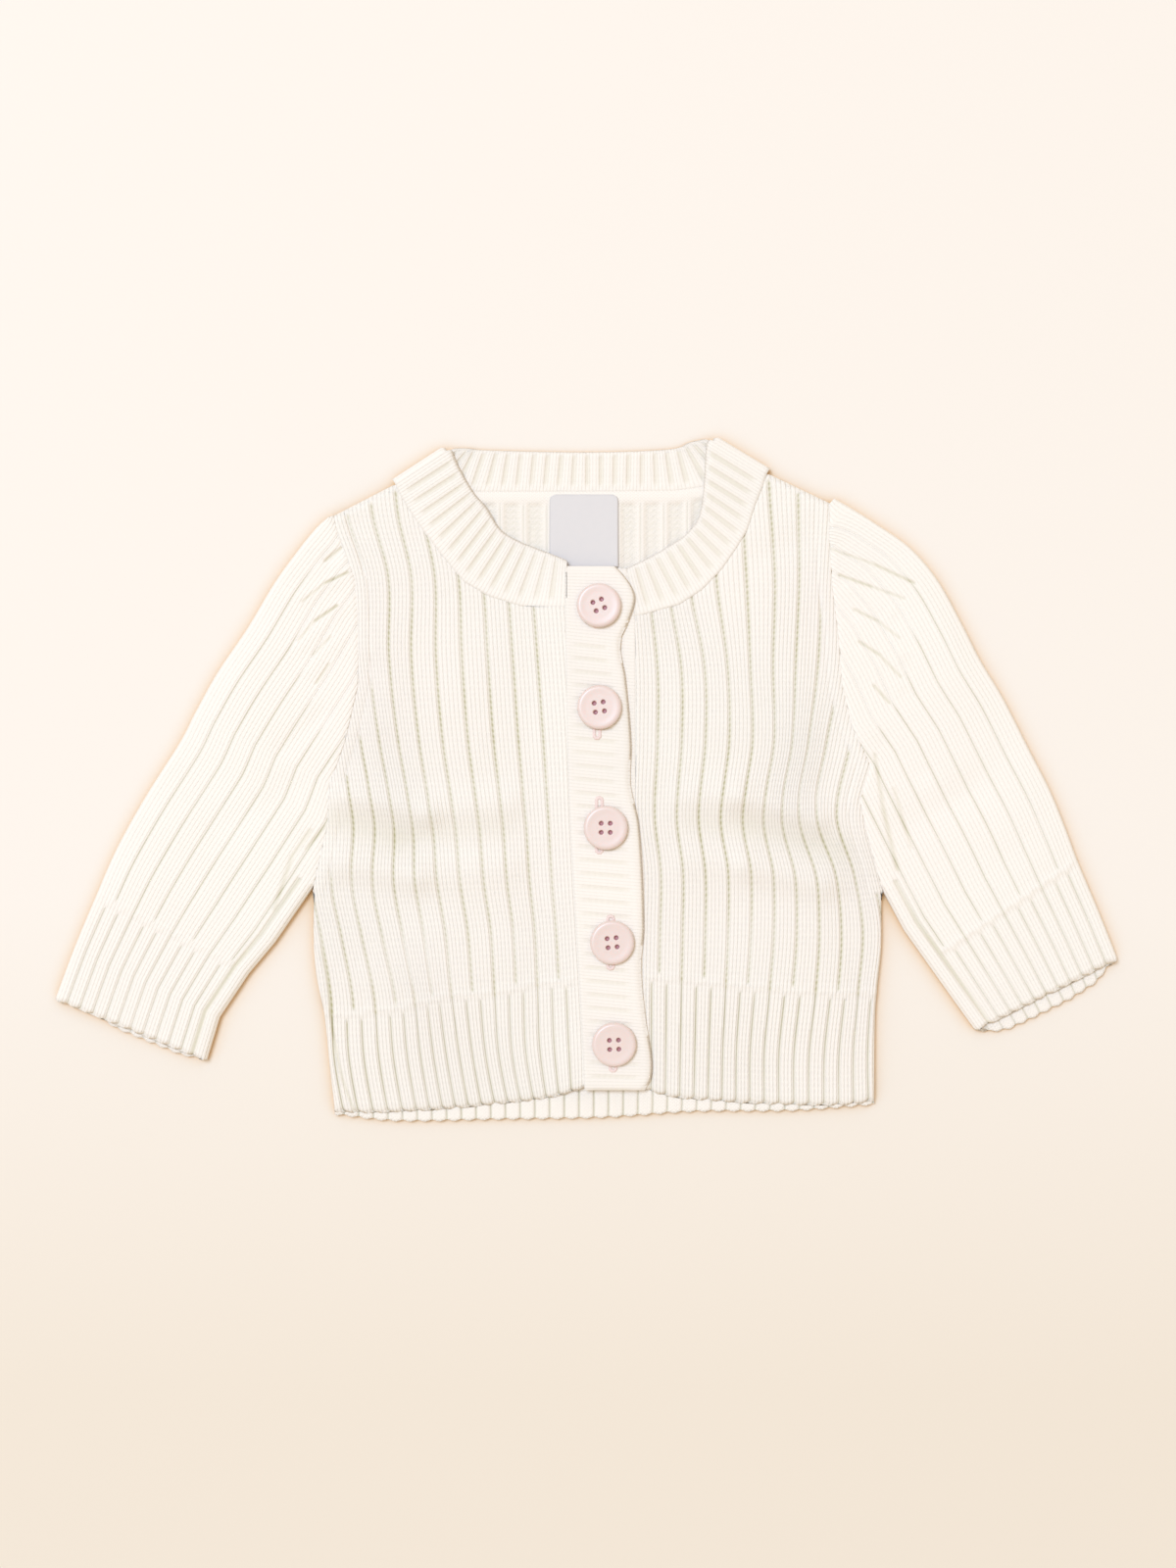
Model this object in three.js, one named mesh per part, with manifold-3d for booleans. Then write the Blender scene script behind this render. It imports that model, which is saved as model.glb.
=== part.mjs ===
// A baby cardigan in ribbed knit, laid flat on its back and buttoned, in millimetres.
// X runs across the garment, Y from hem to neck, and Z up from the surface that it lies on.
// "Left" and "right" are the viewer's, looking down on it. The back lies below, the fronts on it.
import * as THREE from 'three';
import { mergeVertices } from 'three/addons/utils/BufferGeometryUtils.js';
import Module from 'manifold-3d';

// Cloth
const clothWall = 2.4; // over the crest of a rib
const ribDepth = 0.8; // a groove is this much lower than a crest
const seamGap = 0.3;
const layerRise = clothWall + seamGap; // one layer of cloth above the next
const foldRadius = clothWall + seamGap / 2; // outside of cloth that is folded flat on itself
const edgeRound = 2.2; // reach of a rounded side edge
const seamEase = 0.2; // each side of an armhole seam, measured across
const sleeveWall = 2;
const loftReach = 14; // the soft rise of a top layer starts this far inside a folded edge

// Knitting: body ribs are counted from the front edge, sleeve ribs from the sleeve's outer fold
const ribSlope = 0.2; // share of a rib taken by each sloping side
const hemPitch = 2 / 3; // three hem or cuff ribs stand below two body ribs
const hemTop = -88;
const hemBottom = -126;
const bodyBendTop = -20; // rows of knitting bow with the hem up to here
const rowStep = 14;

// Front bands
const bandRib = 5.5; // pitch of the ribs across a band
const bandEdge = 4.5; // plain strip along each side of a band
const lapRun = 18; // the left front climbs onto the button band over this run
const underBandInset = 2.5;
const neckRib = 5.5;
const neckEdge = 0.14; // plain strip along the seam, as a share of the neckband's width

// Buttons
const buttonRadius = 9;
const buttonThick = 3;
const buttonSides = 20;
const holeRadius = 0.8;
const holeSpacing = 3.9;
const holeSides = 8;
const buttonTurn = 20;
const buttons = rowsOf('x y', [
  [5.4, 70.6],
  [5.6, 29.2],
  [8.2, -19.8],
  [10.8, -66.4],
  [11.6, -107.8],
]);

// Label
const labelWidth = 28;
const labelLength = 29.6;
const labelTop = 116.4;
const labelMiddle = -0.6;
const labelThick = 0.5;
const labelCorner = 2.4;

// Armhole seams, from the underarm up to the shoulder
const armholeLeft = rowsOf('x y', [
  [-111, -43.6],
  [-105, -18],
  [-104.2, -2],
  [-98.2, 15.6],
  [-93, 38],
  [-92.6, 62],
  [-94, 80.8],
  [-97.4, 90.8],
  [-101.2, 100.8],
  [-103, 107.6],
]);
const armholeRight = rowsOf('x y', [
  [121, -44.8],
  [115, -24],
  [111.8, -8.8],
  [116.2, 5.2],
  [109, 20.8],
  [104.6, 38],
  [103, 59.2],
  [100.6, 77.6],
  [99.6, 94],
  [99.4, 102],
  [99.8, 112.8],
]);

// Body side edges, from the hem up to the underarm
const sideLeft = rowsOf('y x', [
  [-136, -101.4],
  [-122, -103],
  [-106, -105],
  [-90, -106.8],
  [-74, -110.4],
  [-58, -111.4],
  [-43.6, -111],
]);
const sideRight = rowsOf('y x', [
  [-132, 118.2],
  [-106, 118.2],
  [-90, 118.6],
  [-78, 119.8],
  [-66, 121],
  [-44.8, 121],
]);

// Hem edges
const hemLeft = rowsOf('x y', [
  [-101.4, -136],
  [-88, -136.4],
  [-57, -134.8],
  [-37, -132.8],
  [-16, -130.4],
  [-1, -126],
]);
const hemRight = rowsOf('x y', [
  [21, -126],
  [34, -129.6],
  [44, -130.8],
  [75, -132.8],
  [106, -133.2],
  [118, -131.6],
]);
const hemBack = rowsOf('x y', [
  [-101, -137.4],
  [-78, -139.8],
  [-37, -139.2],
  [8, -138.4],
  [44, -136],
  [85, -135.6],
  [117, -133.2],
]);

// Where body grooves 0, 3, 6, 9 and the last one cross each level
const groovesLeft = rowsOf('y rib0 rib3 rib6 rib9 rib12', [
  [-130, -0.6, -23, -47, -71, -98],
  [-106, -1, -27.2, -51.4, -75.4, -102.6],
  [-82, -2.2, -28.2, -54.6, -77.8, -104],
  [-60, -3.5, -29.4, -57, -83, -108],
  [-42, -4.6, -31.8, -60.2, -86.6, -112],
  [-17, -5.8, -33.8, -62.6, -86.2, -113],
  [15, -7, -37.4, -67.8, -91.8, -116],
  [50, -7.6, -39.8, -71, -97, -122],
  [82, -8.2, -42, -71, -98.8, -124],
  [106, -10, -46, -76.2, -107, -135],
  [121, -12, -49, -78, -110, -138],
]);
const groovesRight = rowsOf('y rib0 rib3 rib6 rib9 rib11', [
  [-126, 21, 47.2, 73, 100.4, 118.6],
  [-106, 21, 47.6, 73, 100.6, 118.2],
  [-84, 21, 48.2, 75, 103, 119.4],
  [-60, 21.4, 49, 77, 104.6, 121.8],
  [-38, 21.8, 49, 76.6, 102.2, 117],
  [-15, 19.4, 46.2, 72.6, 94.2, 111.4],
  [15, 19.8, 49, 77, 98.6, 119],
  [46, 19.8, 48.6, 76.6, 104.2, 123],
  [82, 17, 42.2, 77.4, 105.8, 125],
  [114, 9, 41, 75.4, 109.8, 131],
]);

// Front bands, from the hem up
const bandSeam = rowsOf('y x', [
  [-127, 0],
  [-82, -2.2],
  [-42, -4.6],
  [-2, -6.6],
  [38, -7.4],
  [87, -8.2],
]);
const bandFreeEdge = rowsOf('y x', [
  [-126.8, 24],
  [-122, 26.6],
  [-114, 27],
  [-96, 24.2],
  [-76, 22.6],
  [-60, 23.8],
  [-19, 21.8],
  [-2, 18.2],
  [14, 18.6],
  [42, 16.2],
  [52, 14.2],
  [58, 14.6],
  [63, 17],
  [73, 20.2],
  [78, 19],
  [83, 15.6],
  [86.8, 12],
]);
const underBandSeam = rowsOf('y x', [
  [-126, 20.6],
  [66.4, 19.4],
  [86, 15.6],
]);

// Neckband sections from the seam to the free edge
const neckFrontLeft = rowsOf('seamX seamY freeX freeY', [
  [-9, 70.2, -8.7, 89.2],
  [-26, 70.8, -18.2, 93.6],
  [-39, 74.8, -27, 97.2],
  [-49.4, 80.8, -34.6, 102],
  [-57.8, 90.8, -40.6, 111.2],
  [-65.4, 100.8, -45.4, 116.8],
  [-71.8, 110, -49.8, 124],
  [-75.8, 116.8, -53.4, 131.2],
  [-77.4, 120.8, -54.6, 135.6],
]);
const neckBack = rowsOf('seamX seamY freeX freeY', [
  [-77.4, 120.8, -54.6, 135.6],
  [-63, 117.6, -47.8, 135.6],
  [-45, 118, -39, 134.8],
  [1, 118, 1, 134],
  [37, 118.4, 33.8, 135.2],
  [57, 121.2, 42.6, 138],
  [73.8, 125.2, 49.8, 139.6],
]);
const neckFrontRight = rowsOf('seamX seamY freeX freeY', [
  [73.8, 125.2, 49.8, 139.6],
  [71.8, 118.8, 49, 132.8],
  [69, 112, 48.6, 124.4],
  [65.8, 102, 47.8, 114.8],
  [61, 94, 46.2, 106.8],
  [55.4, 86, 41.8, 100.8],
  [47.4, 77.6, 35.8, 96.4],
  [38.2, 71.6, 27.8, 91.6],
  [20.2, 66.6, 16.4, 86],
]);

// Sleeve rows of knitting from the cuff up, from the outer fold to the underarm or the armhole
const cuffRows = 2; // the cuff's ribs reach up to this row
const sleeveLeft = {
  closedRows: 4,
  rows: rowsOf('outerX outerY innerX innerY ribs', [
    [-217, -90, -155, -115.2, 8],
    [-209, -68.6, -149.6, -97.4, 8],
    [-200.4, -48, -137.6, -79.4, 8],
    [-191.6, -28, -127, -66.8, 8],
    [-179.8, -6.8, -111, -43.6, 8],
    [-166, 15, -105, -18, 7.1],
    [-159.6, 27.4, -104.2, -2, 6.6],
    [-150.6, 43.6, -98.2, 15.6, 6.1],
    [-138.2, 62, -93, 38, 5.3],
    [-127.2, 80.4, -92.6, 62, 4.1],
    [-117.2, 94.2, -94, 80.8, 2.8],
    [-112.6, 100, -97.4, 90.8, 1.8],
    [-108.6, 104.4, -101.2, 100.8, 0.9],
    [-105.8, 106.6, -103, 107.6, 0.4],
  ]),
};
const sleeveRight = {
  closedRows: 4,
  rows: rowsOf('outerX outerY innerX innerY ribs', [
    [217.8, -73.6, 159.4, -102.8, 8],
    [210, -54, 150.6, -90.6, 8],
    [201.4, -33.6, 139.8, -75.4, 8],
    [196, -19, 130, -61.6, 8],
    [189.8, -4, 121, -44.8, 8],
    [181.8, 11.6, 115, -24, 7.6],
    [175, 25.2, 111.8, -8.8, 7.2],
    [169.8, 35, 116.2, 5.2, 6.2],
    [161.4, 49, 109, 20.8, 5.9],
    [154, 63.6, 104.6, 38, 5.6],
    [144.2, 81.2, 103, 59.2, 4.7],
    [133, 94.4, 100.6, 77.6, 3.7],
    [118.6, 104.6, 99.6, 94, 2.2],
    [108.4, 111, 99.4, 102, 1.1],
    [101.8, 114.8, 99.8, 112.8, 0.4],
  ]),
};

// Soft swells of the top layer over the back; the slack between them is the crease at the waist
const swells = rowsOf('x y wide tall rise', [
  [-52, 32, 32, 36, 1.7],
  [-58, -78, 34, 36, 1.6],
  [60, 30, 32, 38, 1.7],
  [68, -78, 32, 36, 1.5],
  [-138, 38, 26, 38, 1.5],
  [-172, -34, 24, 30, 1.3],
  [142, 46, 26, 38, 1.5],
  [176, -28, 24, 30, 1.3],
]);
const bandMiddle = 8.5;
const flatHalf = 18; // the front bands lie flat this far each side of their middle
const flatFade = 16;

// Colours
const cream = new THREE.Color(0.93, 0.89, 0.82);
const pink = new THREE.Color(0.9, 0.72, 0.69);
const paleGrey = new THREE.Color(0.8, 0.78, 0.8);
const knitMaterial = new THREE.MeshStandardMaterial({ color: cream, roughness: 0.95 });
const buttonMaterial = new THREE.MeshStandardMaterial({ color: pink, roughness: 0.35 });
const labelMaterial = new THREE.MeshStandardMaterial({ color: paleGrey, roughness: 0.8 });

// Tables and curves
function rowsOf(names, rows) {
  const columns = names.split(' ');
  return rows.map((row) => Object.fromEntries(columns.map((name, i) => [name, row[i]])));
}

// A smooth curve through one column of a table over another, carried straight on past its ends.
function follow(rows, from, to) {
  const xs = rows.map((row) => row[from]);
  const ys = rows.map((row) => row[to]);
  const last = xs.length - 1;
  const slopes = xs.map((x, i) => {
    const before = Math.max(0, i - 1);
    const after = Math.min(last, i + 1);
    return (ys[after] - ys[before]) / (xs[after] - xs[before]);
  });
  return (x) => {
    if (x <= xs[0]) return ys[0] + slopes[0] * (x - xs[0]);
    if (x >= xs[last]) return ys[last] + slopes[last] * (x - xs[last]);
    const i = xs.findIndex((next) => next > x) - 1;
    const span = xs[i + 1] - xs[i];
    const t = (x - xs[i]) / span;
    const bend = slopes[i] * span * t * (1 - t) ** 2 - slopes[i + 1] * span * t * t * (1 - t);
    return ys[i] + (ys[i + 1] - ys[i]) * t * t * (3 - 2 * t) + bend;
  };
}

// Straight stretches through the same columns, held level past their ends.
function corners(rows, from, to) {
  return (x) => {
    const i = Math.max(1, Math.min(rows.length - 1, rows.findIndex((row) => row[from] >= x)));
    const after = x >= rows[rows.length - 1][from] ? rows.length - 1 : i;
    const [a, b] = [rows[after - 1], rows[after]];
    const t = THREE.MathUtils.clamp((x - a[from]) / (b[from] - a[from]), 0, 1);
    return a[to] + (b[to] - a[to]) * t;
  };
}

function ease(t) {
  return THREE.MathUtils.smoothstep(t, 0, 1);
}

// How far the top layer stands off the cloth below, on top of the seam gap.
function loft(x, y) {
  const off = swells.reduce((sum, s) => {
    return sum + s.rise * Math.exp(-(((x - s.x) / s.wide) ** 2) - ((y - s.y) / s.tall) ** 2);
  }, 0);
  return off * ease((Math.abs(x - bandMiddle) - flatHalf) / flatFade);
}

// Rises to one layer at the seam of the upper front band.
const bandSeamAt = follow(bandSeam, 'y', 'x');
function lap(x, y) {
  return layerRise * ease(1 - (bandSeamAt(y) - x) / lapRun);
}

// Closed walls from rows of points
function addFace(faces, a, b, c) {
  const same = 1e-4;
  if (a.distanceTo(b) < same || b.distanceTo(c) < same || c.distanceTo(a) < same) return;
  faces.push(a, b, c);
}

// Joins two rows whose points may differ in number, in the order of their keys.
function zip(faces, lower, upper) {
  let i = 0;
  let j = 0;
  while (i < lower.length - 1 || j < upper.length - 1) {
    const nextLower = i < lower.length - 1 ? lower[i + 1].key : Infinity;
    const nextUpper = j < upper.length - 1 ? upper[j + 1].key : Infinity;
    if (nextLower <= nextUpper) {
      addFace(faces, lower[i].at, lower[i + 1].at, upper[j].at);
      i += 1;
    } else {
      addFace(faces, lower[i].at, upper[j + 1].at, upper[j].at);
      j += 1;
    }
  }
}

function solidFrom(faces) {
  let volume = 0;
  for (let i = 0; i < faces.length; i += 3) {
    volume += faces[i].dot(new THREE.Vector3().crossVectors(faces[i + 1], faces[i + 2]));
  }
  const points = [];
  for (let i = 0; i < faces.length; i += 3) {
    const [a, b, c] = faces.slice(i, i + 3);
    points.push(a, ...(volume > 0 ? [b, c] : [c, b]));
  }
  const geometry = mergeVertices(new THREE.BufferGeometry().setFromPoints(points), 1e-4);
  geometry.computeVertexNormals();
  return geometry;
}

// A wall of cloth from rows of outer and inner points. Both ends of the first closedRows rows meet.
function clothFrom(rows, closedRows = 0) {
  const faces = [];
  for (let r = 0; r + 1 < rows.length; r += 1) {
    zip(faces, rows[r].outer, rows[r + 1].outer);
    zip(faces, rows[r + 1].inner, rows[r].inner);
  }
  const first = rows[0];
  const last = rows[rows.length - 1];
  zip(faces, first.inner, first.outer);
  zip(faces, last.outer, last.inner);
  const open = rows.slice(closedRows);
  const edge = (face, end) => open.map((row, key) => ({ key, at: row[face].at(end).at }));
  zip(faces, edge('outer', 0), edge('inner', 0));
  zip(faces, edge('inner', -1), edge('outer', -1));
  return solidFrom(faces);
}

// The places across a row where ribs change height, clear of both ends.
function ribStops(from, to, pitch, clear) {
  const stops = [];
  for (let rib = Math.floor(from / pitch); rib * pitch < to; rib += 1) {
    for (const part of [0, ribSlope, 1 - ribSlope]) {
      const key = (rib + part) * pitch;
      if (key > from + clear && key < to - clear) stops.push({ key, drop: part ? 0 : ribDepth });
    }
  }
  return stops;
}

// Sorted levels with none closer than the given step.
function distinct(levels, step) {
  const sorted = [...levels].sort((a, b) => a - b);
  return sorted.filter((level, i) => i === 0 || level - sorted[i - 1] > step);
}

function levelsBetween(from, to) {
  const count = Math.max(1, Math.round((to - from) / rowStep));
  return Array.from({ length: count }, (_, i) => from + ((to - from) * i) / count);
}

// The body's edge at a seam with the neckband, one gap away from the band.
function neckEdgeOf(sections) {
  return sections.map((s) => {
    const away = new THREE.Vector2(s.seamX - s.freeX, s.seamY - s.freeY).setLength(seamGap);
    return { x: s.seamX + away.x, y: s.seamY + away.y };
  });
}

const neckLineLeft = neckEdgeOf(neckFrontLeft);
const neckLineRight = neckEdgeOf([...neckFrontRight].reverse());
const neckLineBack = neckEdgeOf(neckBack);

// Both outer edges of the body: side, armhole and the slope of the shoulder.
function bodyEdge(side, sideRows, armhole, neckPoint) {
  const seam = armhole.map((point) => ({ x: point.x - side * seamEase, y: point.y }));
  const upper = corners([...seam, neckPoint], 'y', 'x');
  const lower = follow(sideRows, 'y', 'x');
  const underarm = armhole[0].y;
  return (y) => (y < underarm ? lower(y) - side * seamEase : upper(y));
}

const outerEdgeLeft = bodyEdge(-1, sideLeft, armholeLeft, neckLineLeft.at(-1));
const outerEdgeRight = bodyEdge(1, sideRight, armholeRight, neckLineRight.at(-1));

// One front: its inner edge runs up the band seam and then round the neck.
function frontPanel({ side, grooves, lastRib, armhole, neckLine, hem, bandEdgeAt, outerEdge, climb }) {
  const underarm = armhole[0].y;
  const neckStart = neckLine[0].y;
  const ribNumbers = [0, 3, 6, 9, lastRib];
  const grooveLines = ribNumbers.map((rib) => ({ rib, at: follow(grooves, 'y', `rib${rib}`) }));
  const neckAt = corners(neckLine, 'y', 'x');
  const hemAt = follow(hem, 'x', 'y');
  const tip = neckLine.at(-1).y - 0.5;
  const plain = levelsBetween(hemTop + 1, neckStart);
  const levels = distinct([
    ...levelsBetween(hemBottom, hemTop - 1),
    hemTop - 1,
    ...plain,
    neckStart - 0.1,
    ...armhole.map((point) => point.y),
    ...neckLine.slice(1, -1).map((point) => point.y),
    tip,
  ], 0.6);
  const rows = levels.map((level) => {
    const line = follow(grooveLines.map(({ rib, at }) => ({ rib, x: at(level) })), 'rib', 'x');
    const ribAt = (x) => {
      let [low, high] = [-3, 18];
      for (let step = 0; step < 40; step += 1) {
        const middle = (low + high) / 2;
        if ((line(middle) - x) * side < 0) low = middle;
        else high = middle;
      }
      return (low + high) / 2;
    };
    const inX = level < neckStart ? bandEdgeAt(level) : neckAt(level);
    const outX = outerEdge(level);
    const from = ribAt(inX);
    const to = ribAt(outX);
    const rounded = level < underarm - 1;
    const bow = THREE.MathUtils.clamp((bodyBendTop - level) / (bodyBendTop - hemBottom), 0, 1);
    const place = (x, height) => {
      const y = level + (hemAt(x) - hemBottom) * bow;
      const inside = rounded ? ease(Math.abs(x - outX) / loftReach) : 1;
      return new THREE.Vector3(x, y, layerRise + height + loft(x, y) * inside + climb(x, y));
    };
    const pitch = level < hemTop ? hemPitch : 1;
    const clear = rounded ? 0.3 : 0.08;
    const outer = [{ key: from, at: place(inX, clothWall) }];
    for (const { key, drop } of ribStops(from, to, pitch, clear)) {
      outer.push({ key, at: place(line(key), clothWall - drop) });
    }
    if (rounded) {
      outer.push({ key: to - 0.25, at: place(outX - side * edgeRound, clothWall) });
      outer.push({ key: to - 0.07, at: place(outX - side * edgeRound * 0.3, clothWall * 0.7) });
    }
    outer.push({ key: to, at: place(outX, rounded ? 0 : clothWall) });
    const inner = [0, 0.15, 0.3, 0.5, 0.75, 1].map((share) => {
      const key = from + (to - from) * share;
      return { key, at: place(share === 1 ? outX : line(key), 0) };
    });
    inner[0].at = place(inX, 0);
    return { outer, inner };
  });
  return clothFrom(rows);
}

// The back lies on the surface: plain inside, flat underside, rounded side edges.
function backPanel() {
  const underarm = Math.min(armholeLeft[0].y, armholeRight[0].y);
  const hemAt = follow(hemBack, 'x', 'y');
  const lastLevel = armholeRight.at(-2).y;
  const levels = distinct([
    ...levelsBetween(hemBottom, underarm - 2),
    underarm - 2,
    ...armholeLeft.map((point) => point.y).filter((y) => y < lastLevel),
    ...armholeRight.map((point) => point.y).filter((y) => y <= lastLevel),
  ], 0.6);
  const shares = [0, 0.08, 0.22, 0.36, 0.5, 0.64, 0.78, 0.92, 1];
  const rows = levels.map((level) => {
    const [left, right] = [outerEdgeLeft(level), outerEdgeRight(level)];
    const rounded = level < underarm - 1;
    const bow = THREE.MathUtils.clamp((bodyBendTop - level) / (bodyBendTop - hemBottom), 0, 1);
    const place = (x, z) => new THREE.Vector3(x, level + (hemAt(x) - hemBottom) * bow, z);
    const across = (share) => left + (right - left) * share;
    const outer = shares.map((share) => ({ key: share, at: place(across(share), clothWall) }));
    const middle = shares.slice(1, -1).map((share) => ({ key: share, at: place(across(share), 0) }));
    const turn = (x, inward, key, sign) => [
      { key, at: place(x, rounded ? clothWall : 0) },
      { key: key + sign * 0.01, at: place(x + inward * edgeRound * 0.3, clothWall * (rounded ? 0.3 : 0)) },
      { key: key + sign * 0.02, at: place(x + inward * edgeRound, 0) },
    ];
    const leftTurn = turn(left, 1, 0, 1);
    const rightTurn = turn(right, -1, 1, -1).reverse();
    return { outer, inner: [...leftTurn, ...middle, ...rightTurn] };
  });
  const shoulders = [
    { x: armholeLeft.at(-1).x + seamEase, y: armholeLeft.at(-1).y },
    ...neckLineBack,
    { x: armholeRight.at(-1).x - seamEase, y: armholeRight.at(-1).y },
  ];
  const [start, end] = [shoulders[0].x, shoulders.at(-1).x];
  const topEdge = (z) => shoulders.map((point) => ({
    key: (point.x - start) / (end - start),
    at: new THREE.Vector3(point.x, point.y, z),
  }));
  rows.push({ outer: topEdge(clothWall), inner: topEdge(0) });
  return clothFrom(rows);
}

// A sleeve: one sheet that starts under the armhole seam, folds over the outer edge and comes back.
function sleeve({ rows: table, closedRows }, side) {
  const numbered = table.map((row, number) => ({ ...row, number }));
  const outerX = follow(numbered, 'number', 'outerX');
  const outerY = follow(numbered, 'number', 'outerY');
  const innerX = corners(numbered, 'number', 'innerX');
  const innerY = corners(numbered, 'number', 'innerY');
  const ribsAt = corners(numbered, 'number', 'ribs');
  const fold = foldRadius;
  const places = [];
  for (let row = 0; row < table.length - 1; row += 0.5) places.push(row);
  places.splice(places.indexOf(cuffRows) + 1, 0, cuffRows + 0.08);
  places.push(table.length - 1);
  const rows = places.map((number) => {
    const start = new THREE.Vector2(outerX(number), outerY(number));
    const end = new THREE.Vector2(innerX(number) + side * seamEase, innerY(number));
    const width = start.distanceTo(end);
    const ribs = ribsAt(number);
    const closed = number <= closedRows;
    const round = Math.min(edgeRound, width * 0.35);
    const place = (reach, height) => {
      const flat = new THREE.Vector2().lerpVectors(start, end, reach / width);
      const fromEnd = closed ? ease((width - reach) / loftReach) : 1;
      const rise = height > fold ? loft(flat.x, flat.y) * ease(reach / loftReach) * fromEnd : 0;
      return new THREE.Vector3(flat.x, flat.y, height + rise);
    };
    const top = layerRise + clothWall;
    const ceiling = top - sleeveWall;
    const point = (key, reach, height) => ({ key, at: place(reach, height) });
    const under = -1 - ribs;
    const outer = [point(under, width, closed ? fold : 0)];
    if (closed) outer.push(point(under + 0.2, width - round, 0));
    outer.push(point(-1 - ribs / 2, width / 2, 0));
    outer.push(point(-1, round, 0));
    outer.push(point(-0.8, round * 0.3, fold * 0.3));
    outer.push(point(-0.5, 0, fold));
    outer.push(point(-0.2, round * 0.3, top - fold * 0.3));
    outer.push(point(0.05, round, top));
    const stops = ribStops(0.2, ribs, number <= cuffRows ? hemPitch : 1, closed ? 0.25 : 0.08);
    for (const { key, drop } of stops) outer.push(point(key, (width * key) / ribs, top - drop));
    if (closed) {
      outer.push(point(ribs - 0.2, width - round, top));
      outer.push(point(ribs - 0.05, width - round * 0.3, top - fold * 0.3));
    }
    outer.push(point(ribs, width, closed ? fold : top));
    const inset = Math.min(sleeveWall + seamGap, width * 0.2);
    const bend = Math.min(5, width * 0.3);
    const inner = [point(under, closed ? width - inset : width, closed ? fold : sleeveWall)];
    if (closed) inner.push(point(under + 0.2, width - bend, sleeveWall));
    inner.push(point(-1 - ribs / 2, width / 2, sleeveWall));
    inner.push(point(-1, bend, sleeveWall));
    inner.push(point(-0.5, inset, fold));
    inner.push(point(0.05, bend, ceiling));
    for (const share of [0.25, 0.5, 0.75]) {
      inner.push(point(Math.max(0.1, ribs * share), Math.max(bend, width * share), ceiling));
    }
    if (closed) inner.push(point(ribs - 0.2, width - bend, ceiling));
    inner.push(point(ribs, closed ? width - inset : width, closed ? fold : ceiling));
    return { outer, inner };
  });
  return clothFrom(rows, places.indexOf(closedRows));
}

// One stretch of the neckband, with whole ribs along it; layer is +1 in front and -1 at the back.
function neckStretch(table, layer, climb) {
  const numbered = table.map((row, number) => ({ ...row, number }));
  const seamX = corners(numbered, 'number', 'seamX');
  const seamY = corners(numbered, 'number', 'seamY');
  const freeX = follow(numbered, 'number', 'freeX');
  const freeY = follow(numbered, 'number', 'freeY');
  const middle = (number) => new THREE.Vector2(
    (seamX(number) + freeX(number)) / 2,
    (seamY(number) + freeY(number)) / 2,
  );
  const steps = (table.length - 1) * 20;
  const travelled = [{ run: 0, number: 0 }];
  for (let step = 1; step <= steps; step += 1) {
    const number = step / 20;
    const run = travelled.at(-1).run + middle(number).distanceTo(middle(number - 1 / 20));
    travelled.push({ run, number });
  }
  const numberAt = corners(travelled, 'run', 'number');
  const length = travelled.at(-1).run;
  const ribCount = Math.round(length / neckRib);
  const halfWall = clothWall / 2;
  const flat = layer > 0 ? layerRise + halfWall : halfWall;
  const rows = [];
  for (let rib = 0; rib <= ribCount; rib += 1) {
    for (const part of [0, 0.25, 0.75]) {
      const run = ((rib + part) / ribCount) * length;
      if (run > length + 1e-6) break;
      const number = numberAt(run);
      const seam = new THREE.Vector2(seamX(number), seamY(number));
      const free = new THREE.Vector2(freeX(number), freeY(number));
      const atEnd = rib === 0 || rib === ribCount;
      const drop = part === 0 && !atEnd ? ribDepth : 0;
      const point = (key, depth) => {
        const at = new THREE.Vector2().lerpVectors(seam, free, key);
        const rise = layer > 0 ? loft(at.x, at.y) + climb(at.x, at.y) : 0;
        return { key, at: new THREE.Vector3(at.x, at.y, flat + rise + depth) };
      };
      const ribbed = [0, neckEdge, 0.92, 1].map((key, i) => {
        return point(key, halfWall - (i === 1 || i === 2 ? drop : 0));
      });
      const plain = [0, 1].map((key) => point(key, -halfWall));
      rows.push(layer > 0 ? { outer: ribbed, inner: plain } : { outer: plain, inner: ribbed });
    }
  }
  return rows;
}

// The neckband turns over at a shoulder, from one layer to the other, round the end of its fold.
function neckFold(section, side, backwards) {
  const seam = new THREE.Vector2(section.seamX, section.seamY);
  const free = new THREE.Vector2(section.freeX, section.freeY);
  const run = free.clone().sub(seam).normalize();
  const out = new THREE.Vector2(side * run.y, -side * run.x);
  const angles = [45, 90, 135].map((degrees) => THREE.MathUtils.degToRad(degrees));
  const middleZ = layerRise - seamGap / 2;
  const rows = angles.map((angle) => {
    const normal = new THREE.Vector3(out.x * Math.sin(angle), out.y * Math.sin(angle), Math.cos(angle));
    const point = (key, radius) => {
      const at = new THREE.Vector2().lerpVectors(seam, free, key);
      return { key, at: new THREE.Vector3(at.x, at.y, middleZ).addScaledVector(normal, radius) };
    };
    const faceAt = (radius) => [point(0, radius), point(1, radius)];
    return { outer: faceAt(foldRadius), inner: faceAt(seamGap / 2) };
  });
  return backwards ? rows.reverse() : rows;
}

function neckband() {
  const level = () => 0;
  return clothFrom([
    ...neckStretch(neckFrontLeft, 1, lap),
    ...neckFold(neckBack[0], -1, false),
    ...neckStretch(neckBack, -1, level),
    ...neckFold(neckBack.at(-1), 1, true),
    ...neckStretch(neckFrontRight, 1, level),
  ]);
}

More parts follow.
